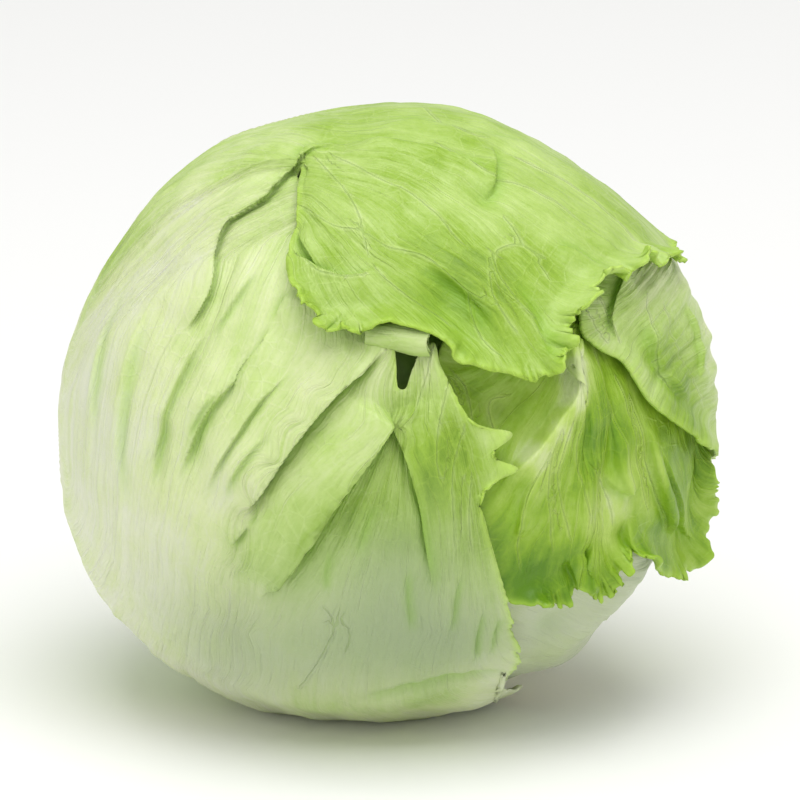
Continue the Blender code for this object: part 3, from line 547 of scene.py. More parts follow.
def blade(name, leaf):
    net = leafNet(leaf)
    place, relief, inside = curledPlaces(leaf, net)
    shape = net["shape"]
    grid = place.reshape(*shape, 3)
    stepAcross = np.gradient(grid, axis=0)
    stepAlong = np.gradient(grid, axis=1)
    normal = unit(np.cross(stepAlong, stepAcross))
    if np.sum(normal * grid) < 0:
        normal = -normal
    # evened, so that the inside of a tight fold doesn't cross itself
    normal = unit(normal + 0.35 * unit(grid))
    for _ in range(6):
        total = normal[1:-1, 1:-1] + normal[1:-1, 2:] + normal[1:-1, :-2]
        normal[1:-1, 1:-1] = unit(total + normal[2:, 1:-1] + normal[:-2, 1:-1])
    # how many mm a fibre travels, and how far apart fibres are
    fibre = np.linalg.norm(np.diff(grid, axis=0), axis=2)
    fibre = np.concatenate([np.zeros((1, shape[1])), np.cumsum(fibre, axis=0)])
    fibre = np.abs(fibre - fibre[leaf["otherColumns"]])
    across = net["acrossFibre"].reshape(shape)
    change = np.hypot(
        np.gradient(across, axis=1) / (np.linalg.norm(stepAlong, axis=2) + 1e-6),
        np.gradient(across, axis=0) / (np.linalg.norm(stepAcross, axis=2) + 1e-6),
    )
    spread = 1 / np.maximum(change, 0.02)

    green, waxAndShade = leaf["tones"](net, fibre.ravel())
    bm = bmesh.new()
    bmesh.ops.create_grid(bm, x_segments=shape[1] - 1, y_segments=shape[0] - 1, size=0.5)
    flat = np.array([v.co[:2] for v in bm.verts])
    order = np.lexsort((flat[:, 0], flat[:, 1]))
    mesh = newMesh(name, bm)

    def ordered(values):
        out = np.empty(values.reshape(len(order), -1).shape)
        out[order] = values.reshape(len(order), -1)
        return out

    mesh.vertices.foreach_set("co", ordered((centre + place) * mm).ravel())
    side, far = nearestVein(net["d"], leaf.get("veins", ()))
    # painted highlight along the margin where it is lifted or frilled, for light catching and coming through
    # the thin edge
    rim = bell(inside, marginSizes["rim"]) * smoothStep(0.0, 0.3, net["frill"] + net["lift"])
    values = {
        "veinSide": side, "veinFar": far, "green": green, "waxAndShade": waxAndShade, "rim": rim,
        "spread": np.clip(spread, 0, 50), "hollowShade": relief.hollowShade,
    }
    setValues(mesh, {key: ordered(value).ravel() for key, value in values.items()})
    inwards = mesh.attributes.new("inward", "FLOAT_VECTOR", "POINT")
    inwards.data.foreach_set("vector", ordered(-normal).ravel())
    setGrowth(mesh, ordered(np.stack([net["acrossFibre"], net["alongFibre"]], axis=1) / 100))
    bm = bmesh.new()
    bm.from_mesh(mesh)
    bmesh.ops.remove_doubles(bm, verts=bm.verts, dist=marginSizes["seam"] * mm)
    bmesh.ops.triangulate(bm, faces=bm.faces)
    bm.to_mesh(mesh)
    bm.free()
    mesh = thinOut(mesh, leaf["triangles"] // 2 - marginSizes["rimTriangles"])
    print(name, len(mesh.polygons), "triangles outside")
    thicken(mesh, leaf["thickness"])
    mesh.shade_smooth()
    print(name, len(mesh.polygons), "triangles")
    return newPiece(name, mesh)


def thinOut(mesh, triangles):
    piece = newPiece(mesh.name, mesh)
    fewer = piece.modifiers.new("Fewer", "DECIMATE")
    fewer.ratio = min(1.0, triangles / len(mesh.polygons))
    bpy.context.view_layer.update()
    result = bpy.data.meshes.new_from_object(piece.evaluated_get(bpy.context.evaluated_depsgraph_get()))
    bpy.data.objects.remove(piece)
    return result


def thicken(mesh, thickness):
    # the sheet is extruded towards its inside
    bm = bmesh.new()
    bm.from_mesh(mesh)
    inward = bm.verts.layers.float_vector["inward"]
    grown = bmesh.ops.extrude_face_region(bm, geom=bm.faces[:])["geom"]
    for vert in (g for g in grown if isinstance(g, bmesh.types.BMVert)):
        vert.co += vert[inward].normalized() * thickness * mm
    bmesh.ops.recalc_face_normals(bm, faces=bm.faces)
    bm.to_mesh(mesh)
    bm.free()
    mesh.attributes.remove(mesh.attributes["inward"])


# Materials
def linear(hexColour):
    # sRGB hex to linear light
    parts = [int(hexColour[i : i + 2], 16) / 255 for i in (1, 3, 5)]
    return tuple(c / 12.92 if c <= 0.04045 else ((c + 0.055) / 1.055) ** 2.4 for c in parts) + (1.0,)


def connect(tree, node, inputs):
    # an input is a link, a number or a hex colour
    for key, value in inputs.items():
        if isinstance(value, bpy.types.NodeSocket):
            tree.links.new(value, node.inputs[key])
        else:
            node.inputs[key].default_value = linear(value) if isinstance(value, str) else value


def addNode(tree, kind, inputs=None, **settings):
    made = tree.nodes.new("ShaderNode" + kind)
    for key, value in settings.items():
        setattr(made, key, value)
    connect(tree, made, inputs or {})
    return made


def newMaterial(name):
    mat = bpy.data.materials.new(name)
    mat.use_nodes = True
    return mat, mat.node_tree, mat.node_tree.nodes["Principled BSDF"]


def objectPlace(tree):
    return addNode(tree, "TexCoord").outputs["Object"]


def math2(tree, operation, a, b=0.0, clamp=False):
    return addNode(tree, "Math", {0: a, 1: b}, operation=operation, use_clamp=clamp).outputs[0]


def vectorMath(tree, operation, inputs, output=0):
    return addNode(tree, "VectorMath", inputs, operation=operation).outputs[output]


def noise(tree, place, scale, detail, roughness=0.5, output="Fac"):
    sizes = {"Vector": place, "Scale": scale, "Detail": detail, "Roughness": roughness}
    return addNode(tree, "TexNoise", sizes).outputs[output]


def bumped(tree, height, strength):
    return addNode(tree, "Bump", {"Height": height, "Strength": strength, "Distance": 1.0}).outputs[0]


def ramp(tree, factor, stops):
    made = addNode(tree, "ValToRGB", {"Fac": factor})
    elements = made.color_ramp.elements
    while len(elements) < len(stops):
        elements.new(0.5)
    for element, (position, colour) in zip(elements, stops):
        element.position = position
        element.color = linear(colour)
    return made.outputs["Color"]


def blend(tree, factor, a, b):
    return addNode(tree, "Mix", {0: factor, 6: a, 7: b}, data_type="RGBA").outputs[2]


def fitted(tree, value, low, high, newLow=0.0, newHigh=1.0):
    ends = {"Value": value, "From Min": low, "From Max": high, "To Min": newLow, "To Max": newHigh}
    return addNode(tree, "MapRange", ends, interpolation_type="SMOOTHSTEP", clamp=True).outputs["Result"]


def leafTissue(name, look):
    # Lettuce leaf: thin, moist and crisp. Light sinks in a little, the skin is waxy, and veins show as fine
    # lines with a paler side and painted shade in their groove; creases get painted shade, a deeper green that
    # also stands for the light coming through the leaf there.
    mat, tree, shader = newMaterial(name)
    growth = addNode(tree, "UVMap", uv_map="growth").outputs[0]
    place = objectPlace(tree)
    keys = ("green", "rim", "spread", "hollowShade", "waxAndShade", "veinSide", "veinFar")
    attribute = {key: addNode(tree, "Attribute", attribute_name=key).outputs["Fac"] for key in keys}
    acrossFibre = math2(tree, "MULTIPLY", addNode(tree, "SeparateXYZ", {0: growth}).outputs[0], 100.0)

    def fibreNoise(key):
        # noise whose lumps are so many mm across the fibres and along them
        across, along, detail = look[key]
        scale = (100.0 / across, 100.0 / along, 1.0)
        stretched = addNode(tree, "Mapping", {"Vector": growth, "Scale": scale}).outputs[0]
        return noise(tree, stretched, 1.0, detail, 0.55)

    def times(a, b, clamp=False):
        return math2(tree, "MULTIPLY", a, b, clamp)

    def add(a, b, amount):
        # a + b times amount
        return addNode(tree, "Math", {0: b, 1: amount, 2: a}, operation="MULTIPLY_ADD").outputs[0]

    broad = fibreNoise("broadSize")
    fine = fibreNoise("fineSize")
    patches = noise(tree, place, *look["patchNoise"])
    grain = noise(tree, place, *look["grainNoise"])

    # fine side veins that follow the fibres, and a net of finer ones between them
    wander = noise(tree, place, *look["wanderNoise"])
    fibreVeins = veinLine(tree, acrossFibre, attribute["spread"], wander, look)
    fibreVeins = times(fibreVeins, fitted(tree, fibreNoise("breakSize"), 0.42, 0.62))
    net = cellEdges(tree, warped(tree, place, *look["netWarp"]), look["netScale"])
    netVeins = times(fitted(tree, net, 0.01, 0.07, 1.0, 0.0), fitted(tree, patches, 0.45, 0.6))
    side = math2(tree, "ABSOLUTE", attribute["veinSide"])
    here = fitted(tree, attribute["veinFar"], 1.4, 3.0, 1.0, 0.0)
    line = times(fitted(tree, side, 0.06, 0.26, 1.0, 0.0), here)
    flank = times(fitted(tree, side, 0.2, 1.1, 1.0, 0.0), here)

    # how green: from the leaf's own tone, its streaks and patches, less where there are veins
    green = attribute["green"]
    for part, key in ((broad, "streaks"), (fine, "fineStreaks"), (patches, "patches"), (grain, "grain")):
        green = add(green, math2(tree, "SUBTRACT", part, 0.5), look[key])
    for part, key in ((netVeins, "netPale"), (fibreVeins, "fibrePale"), (flank, "flankPale")):
        green = add(green, part, -look[key])
    colour = ramp(tree, green, look["colours"])
    # greyer: the leaf's own wax near the ribs, and painted shade on the lower front of the outer leaf
    colour = blend(tree, times(attribute["waxAndShade"], look["waxAndShadeShow"]), colour, look["waxAndShadeColour"])
    # painted shade: creases, troughs and dents turn a deeper green, for the shade in them and the light through
    # the leaf
    colour = blend(tree, times(attribute["hollowShade"], look["hollowShade"], True), colour, look["hollowShadeColour"])
    # painted shade in each vein's groove
    colour = blend(tree, times(line, look["veinShadeShow"]), colour, look["veinShadeColour"])
    # painted highlight along lifted margins
    colour = blend(tree, times(attribute["rim"], look["rimHighlightShow"]), colour, look["rimHighlightColour"])

    height = times(flank, look["heights"][0])
    for part, metres in zip((line, fibreVeins, netVeins, broad, fine, grain), look["heights"][1:]):
        height = add(height, part, metres)
    shine = look["roughness"]
    connect(tree, shader, {
        "Base Color": colour, "Normal": bumped(tree, height, look["bump"]), "IOR": 1.4,
        "Roughness": fitted(tree, fine, 0.3, 0.7, shine - 0.07, shine + 0.07),
        "Subsurface Weight": look["soft"], "Subsurface Radius": (0.9, 1.0, 0.35), "Subsurface Scale": 0.0018,
    })
    return mat


def veinLine(tree, acrossFibre, spread, wander, look):
    # 1 on a vein, 0 away from it: veins are so many mm apart, and half a width from the middle they fade
    apart, halfWidth = look["veinApart"], look["veinHalfWidth"]
    number = math2(tree, "DIVIDE", acrossFibre, apart)
    number = math2(tree, "ADD", number, math2(tree, "MULTIPLY", wander, look["veinWander"]))
    distance = math2(tree, "MULTIPLY", spread, apart)
    distance = math2(tree, "MULTIPLY", math2(tree, "PINGPONG", number, 0.5), distance)
    return fitted(tree, distance, halfWidth * 0.3, halfWidth, 1.0, 0.0)


def cellEdges(tree, place, scale):
    sizes = {"Vector": place, "Scale": scale, "Randomness": 1.0}
    return addNode(tree, "TexVoronoi", sizes, feature="DISTANCE_TO_EDGE").outputs["Distance"]


def warped(tree, place, scale, amount):
    moved = noise(tree, place, scale, 1.0, output="Color")
    moved = vectorMath(tree, "SUBTRACT", {0: moved, 1: (0.5, 0.5, 0.5)})
    return vectorMath(tree, "ADD", {0: place, 1: vectorMath(tree, "SCALE", {0: moved, "Scale": amount})})


leafColours = ((0.0, "#e0e4c9"), (0.25, "#d6e2a8"), (0.5, "#b9d27a"), (0.75, "#93b53c"), (1.0, "#658a18"))
rightColours = leafColours[:2] + ((0.5, "#b7d167"), (0.75, "#8fb42c"), (1.0, "#5c8812"))
# streaks, patches and grain vary how green a leaf is, from 0 for nearly white to 1; pale ones take from it
commonLook = {
    "colours": leafColours, "veinApart": 6.0, "veinWander": 0.9, "veinHalfWidth": 0.28,
    # how strong the painted shade in hollows is and its colour; the grey for wax and painted shade
    "hollowShade": 0.7, "hollowShadeColour": "#86b52c", "waxAndShadeShow": 0.75, "waxAndShadeColour": "#9dad84",
    "streaks": 0.5, "fineStreaks": 0.30, "patches": 0.5, "grain": 0.12,
    "netPale": 0.05, "fibrePale": 0.07, "flankPale": 0.10,
    # the painted shade in vein grooves and the painted highlight along lifted margins
    "veinShadeShow": 0.36, "veinShadeColour": "#84a052", "rimHighlightShow": 0.55, "rimHighlightColour": "#b4d84e",
    # scale, detail and roughness
    "patchNoise": (55.0, 3.0, 0.55), "grainNoise": (900.0, 2.0, 0.6), "wanderNoise": (34.0, 2.0, 0.5),
    "netScale": 210.0, "netWarp": (90.0, 0.003),
    # mm across the fibres and along them, and detail
    "broadSize": (5.0, 34.0, 4.0), "fineSize": (1.1, 11.0, 3.0), "breakSize": (9.0, 22.0, 1.0),
    # metres for a vein's sides, the groove between them, fibre veins, their net, two kinds of streaks, grain
    "heights": (0.00028, -0.00022, 0.00014, 0.00006, 0.0011, 0.0006, 0.00016),
    "bump": 0.8, "roughness": 0.42, "soft": 0.10,
}
commonLeaf = {
    "thickness": 0.9, "teeth": 0.8, "easeRounds": 120, "columns": 90, "otherColumns": 60, "ruffle": 8.5,
    "ruffleHeight": 1.9, "puckers": 1.0, "fibreScale": 180.0,
}


def dabs(d, places):
    # soft patches of more or less green: x and y in the picture, mm to where they fade, amount
    tone = np.zeros(len(d))
    for x, y, size, amount in places:
        tone += amount * bell(mmFrom(d, seen(x, y)), size)
    return tone


def makeLeaf(name, sizes, look):
    leaf = commonLeaf | sizes
    piece = blade(name + "_blade", leaf)
    piece.data.materials.append(leafTissue(name.replace("_", " ") + " tissue", commonLook | look))
    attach(piece, "root")
    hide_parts(name)


# Outer leaf: its pale rib runs up the left side, its near half covers the front, its far half is the crown
outerRib = [
    *points(byStem, (50, leafFoot), (30, 30)),
    *points(front, (12.5, -67.1), (-16.4, -71.5), (-31.6, -69), (-45.4, -59.8), (-57.4, -44.9),
        (-70.2, -17.6)),
    *points(turned, (181, 88), (168, 92), (150, 94), (130, 97), (112, 102), (100, 112), (95, 124)),
]
outerMargin = [
    *edges(byStem, (24, leafFoot, 0)),
    *edges(front, (28, -67, 0.04, -0.2, 0, 3), (31, -62, 0.05, 0.3, 0.3, 3),
        (30.9, -57.4, 0.06, 0.8, 0.8, 4), (29, -46.6, 0.085, 0.5, 0.4, 4), (25.8, -34.5, 0.105, 0.3, 0, 4),
        (23.4, -26.1, 0.12, 0.5, 0, 4), (21.9, -18.6, 0.13, 1, 0.3, 5),
        (21.9, -14.8, 0.139, 1.5, 0, 5, 9.5), (21.8, -10.6, 0.147, 1.2, 0, 5, 2.6),
        (21.6, -7.2, 0.155, 1.5, 0, 5, 8.5), (21, -3.6, 0.163, 1, 0.3, 5), (17.9, 0.5, 0.17, 1, 0.4, 4),
        (15.4, 5.3, 0.178, 1, 0.4, 3), (12.5, 11.3, 0.186, 1, 0, 2), (11.1, 16.7, 0.194, 0.5, 0, narrow),
        (7.7, 14, 0.202, 0, 0, narrow), (5.6, 9.2, 0.21, -0.3, 0, narrow),
        (4.4, 5.8, 0.22, -0.3, 0, narrow), (2.4, 6.2, 0.33, 0.3, 0, 2), (2, 11.1, 0.4, 1, 0, 4),
        (1.4, 16, 0.44, 0.5, 0, 5), (-2, 21.5, 0.47), (-5.6, 26, 0.49), (-10.4, 33, 0.52),
        (-14.5, 41.5, 0.55, 0, 0, 5), (-17.4, 48, 0.585, 0, 0, 3), (-20, 53, 0.6, 0, 0, 2),
        (-21.6, 56.4, 0.612, 0, 0, narrow), (-22.2, 58.2, 0.62, 0, 0, narrow),
        (-20.6, 58.2, 0.67, 0, 0, narrow), (-21.2, 55, 0.676, 0, 0, narrow),
        (-21.4, 50.5, 0.682, 0.4, 0.1, narrow), (-21.2, 44.4, 0.692, 0.8, 0.2, 2),
        (-22.9, 38.6, 0.702, 0.8, 0.2, 3), (-23.4, 33.1, 0.712, 0.8, 0.2, 5), (-21.2, 27, 0.72, 1, 0.4),
        (-17.4, 21, 0.73, 2.2, 1.3), (-12.8, 15.9, 0.74, 2.6, 1.6), (-6.3, 16.2, 0.75, 2.8, 1.4),
        (-3.9, 19.5, 0.76, 3, 0.6), (4.1, 19.2, 0.77, 3.6, 0.2), (12.5, 16.2, 0.78, 2.6, 0.3),
        (15.4, 12.1, 0.79, 2, 0.6), (22.2, 9.7, 0.8, 2, 0.8), (31.9, 8.2, 0.81, 2, 0.8),
        (36.6, 7, 0.82, 2.2, 0.8), (39.2, 10.1, 0.83, 2.4, 1.2), (40.6, 16.2, 0.84, 2.4, 1.4),
        (43.2, 22.2, 0.85, 2.6, 1.4), (51.2, 29.4, 0.86, 2.6, 1.4), (57.2, 31.9, 0.87, 2.6, 1.4),
        (64.4, 34.6, 0.88, 2.2, 1), (70, 35.6, 0.89, 0.8, 0.7, 5)),
    *edges(turned, (31, 92, 0.905, 0.2, 0.5, 4), (37, 103, 0.92, 0.2, 0.5), (48, 116, 0.94, 1.2, 1),
        (63, 128, 0.96, 1.2, 1), (80, 137, 0.98, 1.2, 1), (100, 141, 1, 1.2)),
]
outerOtherMargin = [
    *edges(byStem, (148, leafFoot, 0)),
    *edges(turned, (275, 122, 0.1, 0.8, 0.6), (255, 134, 0.22, 1.2, 1), (232, 142, 0.35, 1.4, 1.2),
        (205, 147, 0.48, 1.4, 1.2), (180, 150, 0.6, 1.4, 1.2), (155, 150, 0.72, 1.4, 1.2),
        (130, 148, 0.85, 1.2, 1.2), (112, 144, 0.94, 1.2, 1), (100, 141, 1, 1.2)),
]
outerWaist = [
    *edges(front, (-22.5, 60, 0.66), (-18.6, 60.6, 0.68), (-14.8, 61, 0.7), (-12.2, 62.6, 0.74),
        (-10.2, 64.6, 0.78), (-7, 67.4, 0.82), (-3, 71, 0.87)),
    *edges(turned, (88, 92, 0.91), (90, 105, 0.95), (93, 120, 1)),
]
upperFold = points(front, (-49, 18.6), (-43.7, 29.4), (-42.2, 39.1), (-38.5, 46), (-30.4, 51.9),
    (-23.7, 58.5), (-10.4, 63.7))
middleFold = points(front, (-35, -25.6), (-29.7, -16.4), (-21.2, -4.3), (-11.6, 6.5), (-0.7, 15))
lowerFold = points(front, (-31.6, -45.6), (-21.2, -32.1), (-14, -21.2), (-4.3, -8), (1, 0))
stripFold = points(front, (1, 0.5), (5.3, -9.2), (8.9, -21.2), (10.1, -30.9), (10.6, -45.4))
leftTrough = points(front, (-55, -19), (-55.5, -8), (-54, 0))
secondTrough = points(front, (-47, -18), (-47, -6), (-44, 4))
bottomGroove = points(front, (31.9, -62.7), (12.5, -64.7), (-9.2, -69))
crownRidge = points(front, (-14, 63.2), (2.9, 62), (19.8, 59.6), (25, 56))
# paths in the picture, as x, y, x, y and so on
nearFibres = (
    (62, 470, 62, 380, 85, 290, 130, 210, 190, 155, 260, 125, 345, 108),
    (80, 490, 88, 400, 108, 310, 150, 240, 200, 185, 260, 152, 330, 133),
    (108, 530, 112, 430, 130, 340, 165, 270, 205, 222, 250, 188, 290, 160),
    (130, 570, 140, 470, 160, 390, 185, 335, 195, 320, 207, 290, 213, 250, 220, 230, 250, 203),
    (155, 600, 162, 500, 185, 420, 215, 350, 235, 290, 262, 235, 290, 195),
    (180, 630, 190, 540, 210, 470, 240, 400, 268, 336, 288, 290),
    (210, 665, 225, 580, 250, 500, 285, 430, 325, 380, 350, 348),
    (225, 680, 236, 600, 250, 520, 265, 480, 300, 430, 340, 385, 385, 350),
    (245, 690, 257, 601, 300, 545, 330, 500, 370, 445, 392, 412),
    (300, 695, 322, 620, 350, 540, 380, 470, 398, 420),
    (360, 700, 370, 620, 385, 540, 398, 470, 403, 425),
    (420, 690, 432, 600, 430, 540, 425, 500, 410, 450, 403, 415),
    (455, 685, 462, 620, 462, 540, 455, 480, 440, 430, 425, 385),
    (510, 605, 497, 560, 485, 520, 475, 480, 458, 425, 440, 370, 432, 343),
)
crownFibres = (
    (345, 108, 450, 108, 560, 150, 650, 215, 680, 245),
    (345, 130, 430, 128, 520, 160, 600, 210, 655, 262),
    (320, 160, 400, 165, 480, 195, 550, 245, 600, 285),
    (310, 172, 358, 178, 401, 192, 452, 240, 503, 291, 552, 355),
    (306, 190, 346, 205, 391, 251, 449, 279, 493, 312, 523, 372),
    (304, 205, 333, 232, 378, 274, 411, 302, 445, 335, 470, 362),
    (300, 222, 322, 262, 350, 300, 372, 325),
    (296, 240, 305, 280, 325, 320, 340, 345),
)
outerVeins = (
    (432, 352, 424, 385, 414, 415),
    (446, 390, 438, 425, 436, 460, 444, 500),
    (462, 432, 452, 470, 452, 520, 456, 560),
    (470, 480, 468, 520, 474, 560),
    (300, 690, 330, 640, 345, 590),
    (328, 610, 334, 620, 346, 626, 350, 636, 346, 650, 342, 662),
    (350, 636, 349, 645, 345, 655),
    (338, 162, 371, 178, 402, 193, 434, 217, 452, 240, 470, 254, 490, 258),
    (490, 258, 503, 250, 518, 248, 536, 256, 552, 268),
    (490, 258, 494, 275, 503, 291, 515, 308, 529, 320, 544, 321),
    (305, 212, 333, 228, 361, 235, 391, 251, 421, 258, 449, 279, 467, 294, 493, 312, 503, 332, 523, 360),
    (320, 166, 346, 192, 361, 222, 364, 236, 370, 258, 378, 274),
    (378, 274, 390, 286, 411, 302, 430, 313, 442, 320, 457, 335),
    (467, 297, 472, 320, 485, 348, 506, 365),
    (424, 113, 447, 133, 473, 144, 498, 146),
    (506, 225, 519, 243, 534, 263, 552, 294),
    (486, 260, 487, 280, 490, 300, 500, 318, 520, 345),
    (302, 262, 318, 280, 345, 287, 366, 283, 378, 274),
    (440, 150, 480, 178, 520, 190, 565, 215, 598, 252),
    (520, 165, 570, 190, 620, 232, 640, 262),
)
# height, reach, wall and overlap in mm, and the path, with the raised side on its left
crownFolds = (
    # the pocket by the crown's left edge, and the pale ledge below it
    (1.7, 7, 1, 1.2, (380, 273, 352, 285, 326, 280, 306, 268, 292, 258)),
    (1.3, 6, 0.8, 0.8, (301, 236, 311, 252, 325, 277)),
    # creases that run over the top
    (1, 8, 1.2, 0.6, (345, 148, 330, 150, 308, 157, 297, 168)),
    (1.5, 12, 1.8, 0.6, (488, 186, 470, 172, 430, 160, 385, 152, 345, 148)),
    (0.9, 9, 2, 0.3, (560, 165, 520, 150, 470, 140, 420, 128, 370, 126)),
    (1.4, 7, 1.4, 0.8, (478, 200, 488, 190, 490, 172, 487, 150)),
    (1.2, 9, 1.6, 0.4, (420, 262, 452, 282, 478, 306, 500, 338)),
    (0.8, 9, 2, 0.2, (536, 374, 532, 340, 520, 310, 500, 285)),
    (1.6, 5, 0.8, 0.8, (643, 276, 640, 262, 636, 246)),
    (1, 8, 1.4, 0.4, (600, 288, 585, 270, 566, 256, 548, 250)),
)
nearFolds = (
    # the small crease between the tongue and the panel beside it, and its branches
    (1.7, 8, 0.8, 0.9, (274, 321, 268, 336, 262, 350, 246, 368, 228, 396)),
    (1.2, 7, 0.9, 0.4, (291, 288, 284, 304, 274, 321)),
    (2.2, 11, 0.8, 0.9, (176, 492, 186, 455, 205, 415, 232, 382, 262, 350)),
    (1.7, 11, 1, 0.7, (150, 505, 154, 450, 166, 404, 188, 356, 214, 318)),
    (1.7, 10, 0.8, 0.7, (200, 505, 218, 470, 240, 434, 264, 400, 300, 366)),
    (0.9, 5, 0.6, 0.4, (186, 440, 200, 412, 222, 386)),
    (1, 6, 0.7, 0.4, (222, 505, 236, 478, 256, 450, 280, 424)),
    (1, 8, 0.9, 0.3, (206, 345, 222, 318, 242, 290, 262, 262)),
    (1.8, 7, 0.8, 0.7, (229, 548, 240, 533, 252, 520)),
    (1.2, 5, 0.9, 0.3, (262, 500, 262, 516, 252, 528)),
    # wrinkles low on the front
    (0.9, 5, 1, 0.2, (326, 596, 324, 570, 330, 545)),
    (0.7, 6, 1.4, 0.2, (352, 560, 360, 530, 372, 498)),
    (1, 6, 1.4, 0.3, (448, 640, 452, 600, 462, 566)),
    (1.1, 5, 1.2, 0.3, (472, 668, 474, 640, 484, 606)),
    (0.9, 4, 1, 0.3, (488, 660, 492, 636, 500, 612)),
    (1.3, 9, 1.8, 0.4, (432, 600, 426, 560, 420, 520, 408, 480)),
    (0.7, 6, 1.4, 0.2, (410, 640, 404, 600, 404, 560)),
    # folds down the far left
    (1.3, 10, 2.2, 0.3, (92, 452, 90, 390, 104, 320, 134, 258)),
    (1.4, 10, 2, 0.3, (124, 520, 118, 440, 128, 360, 150, 300)),
    (1.2, 6, 0.8, 0.6, (240, 209, 222, 215, 204, 224)),
    (0.8, 10, 2.4, 0.2, (160, 250, 190, 200, 240, 165, 300, 138)),
)


def outerFibres(d, start, onLine, f, across):
    # the fibres as the front shows them; round the back they fan from the rib
    share = smoothStep(0.57, 0.66, start) * onLine * smoothStep(0.0, 0.3, f)
    step = 14.0
    near = levelField(nearFibres, step * np.arange(len(nearFibres)), d)
    crown = levelField(crownFibres, -step * (np.arange(len(crownFibres)) - 0.5), d)
    ahead = smoothStep(-0.45, 0.0, d @ toward)
    gathered = near + (crown - near) * share
    middles = seen(398, 395) + (seen(318, 165) - seen(398, 395)) * share[:, None]
    return across + (gathered - across) * ahead, mmFrom(d, middles)


def outerRelief(relief):
    inside, start, onLine = 1 - relief.net["f"], relief.net["start"], relief.net["onLine"]
    relief.height += layers["wrap"] * (1 - smoothStep(0.625 - 0.2 * inside, 0.665 + 0.1 * inside, start))
    # the outline is flatter at the upper left
    flats = (108, 86, 3, 20), (142, 84, 2.2, 34), (172, 86, 1, 26), (48, 88, 1.4, 20)
    for clock, turn, amount, size in flats:
        relief.dent(turned(clock, turn), amount, size)
    crown = smoothStep(0.60, 0.64, start) * onLine
    near = (1 - smoothStep(0.56, 0.62, start)) * onLine
    relief.pleat(upperFold, 2.0, 22.0, 0.6, 0.6, (0.12, 0.3), 2.4, shade=0.6)
    relief.pleat(middleFold, 4.4, 20.0, 0.7, 2.0, (0.2, 0.15), 2.4, near, 0.6)
    relief.pleat(lowerFold, 4.8, 17.0, 0.7, 1.6, (0.2, 0.05), 2.6, near, 0.6)
    relief.pleat(stripFold, 3.0, 14.0, 0.8, 1.4, (0.06, 0.5), 1.8, near, 0.5)
    for height, reach, wall, lap, path in nearFolds:
        ends = (0.35, 0.35)
        relief.pleat(trace(*path), 0.8 * height, reach, 0.8 * wall, 0.3 * height, ends, lap, near, 0.6)
    for height, reach, wall, lap, path in crownFolds:
        relief.pleat(trace(*path), height, reach, wall, 0.3 * height, (0.25, 0.25), lap, crown, 0.6)
    relief.ridge(leftTrough, -0.9, 4.0, shade=-0.2)
    relief.ridge(secondTrough, -1.0, 4.0, shade=-0.2)
    relief.ridge(outerRib[1:9], 1.6, 7.0, (0.02, 0.5))
    relief.ridge(bottomGroove, -1.4, 1.6, shade=-0.5)
    relief.ridge(crownRidge, 1.2, 3.5, share=crown)
    relief.dent(front(23.0, 51.5), 2.0, 4.0, crown, 0.4)
    relief.dent(front(12.5, 24.6), 1.6, 6.0, crown, 0.4)
    relief.dent(seen(465, 335), 1.4, 5.0, crown, 0.3)


def outerTones(net, fibre):
    start, onLine, d = net["start"], net["onLine"], net["d"]
    crown = smoothStep(0.58, 0.66, start) * onLine * smoothStep(0.0, 26.0, fibre)
    ribTone = 0.10 + 0.30 * smoothStep(0.55, 1.0, start)
    tone = ribTone + 0.22 * smoothStep(20.0, 95.0, fibre)
    tone = tone + (0.62 - tone) * crown
    tone = tone + 0.25 * (1 - onLine) * smoothStep(5.0, 60.0, fibre)
    # the darker green patches low on the front are painted shade, where less light falls
    tone = tone + dabs(d, (
        (265, 145, 14, -0.12), (160, 215, 16, -0.16), (250, 330, 14, 0.08), (310, 500, 10, 0.08),
        (270, 560, 14, 0.3), (165, 480, 10, 0.12), (135, 380, 8, 0.08), (340, 470, 18, 0.08),
        (440, 450, 16, 0.38), (470, 540, 18, 0.36), (370, 540, 16, 0.28), (440, 630, 22, 0.25),
        (330, 640, 22, 0.15), (250, 420, 14, 0.08), (200, 160, 22, -0.1), (330, 712, 12, 0.3),
        (430, 700, 10, 0.3),
    ))
    tone = tone + crown * dabs(d, (
        (435, 300, 16, 0.2), (475, 290, 10, 0.15), (360, 215, 14, 0.02),
        (340, 300, 10, -0.08), (430, 140, 14, 0.04), (500, 345, 12, 0.06),
    ))
    # painted shade: the thick lower part of the leaf, low on the front where less light falls, is greyed
    waxAndShade = dabs(d, (
        (340, 640, 26, 0.9), (450, 640, 22, 0.8), (220, 650, 22, 0.7), (90, 440, 18, 0.15),
        (400, 560, 16, 0.5), (490, 640, 14, 0.3),
    )) * (1 - crown)
    return tone, waxAndShade


outerLeaf = {
    "rib": outerRib, "margin": outerMargin, "otherMargin": outerOtherMargin, "waist": outerWaist,
    "layer": "over", "rows": 1050, "columns": 190, "triangles": 196000, "seed": 11,
    "thickness": 0.7, "ruffleHeight": 1.5, "puckers": 1.35,
    "fibres": outerFibres, "veins": outerVeins, "relief": outerRelief, "tones": outerTones,
    # places in the picture where the margin curls over: x, y, reach in mm, how far
    "curls": (
        (576, 326, 3.5, 1.5), (594, 300, 3, 1.5), (628, 282, 3, 1.6), (318, 322, 3, 1.2),
        (346, 348, 2.6, 1.2), (556, 372, 3, 1.4), (680, 256, 3, 1), (303, 300, 4, 1.2),
    ),
}
makeLeaf("outer_leaf", outerLeaf, {"streaks": 0.42, "fineStreaks": 0.24, "patches": 0.62})

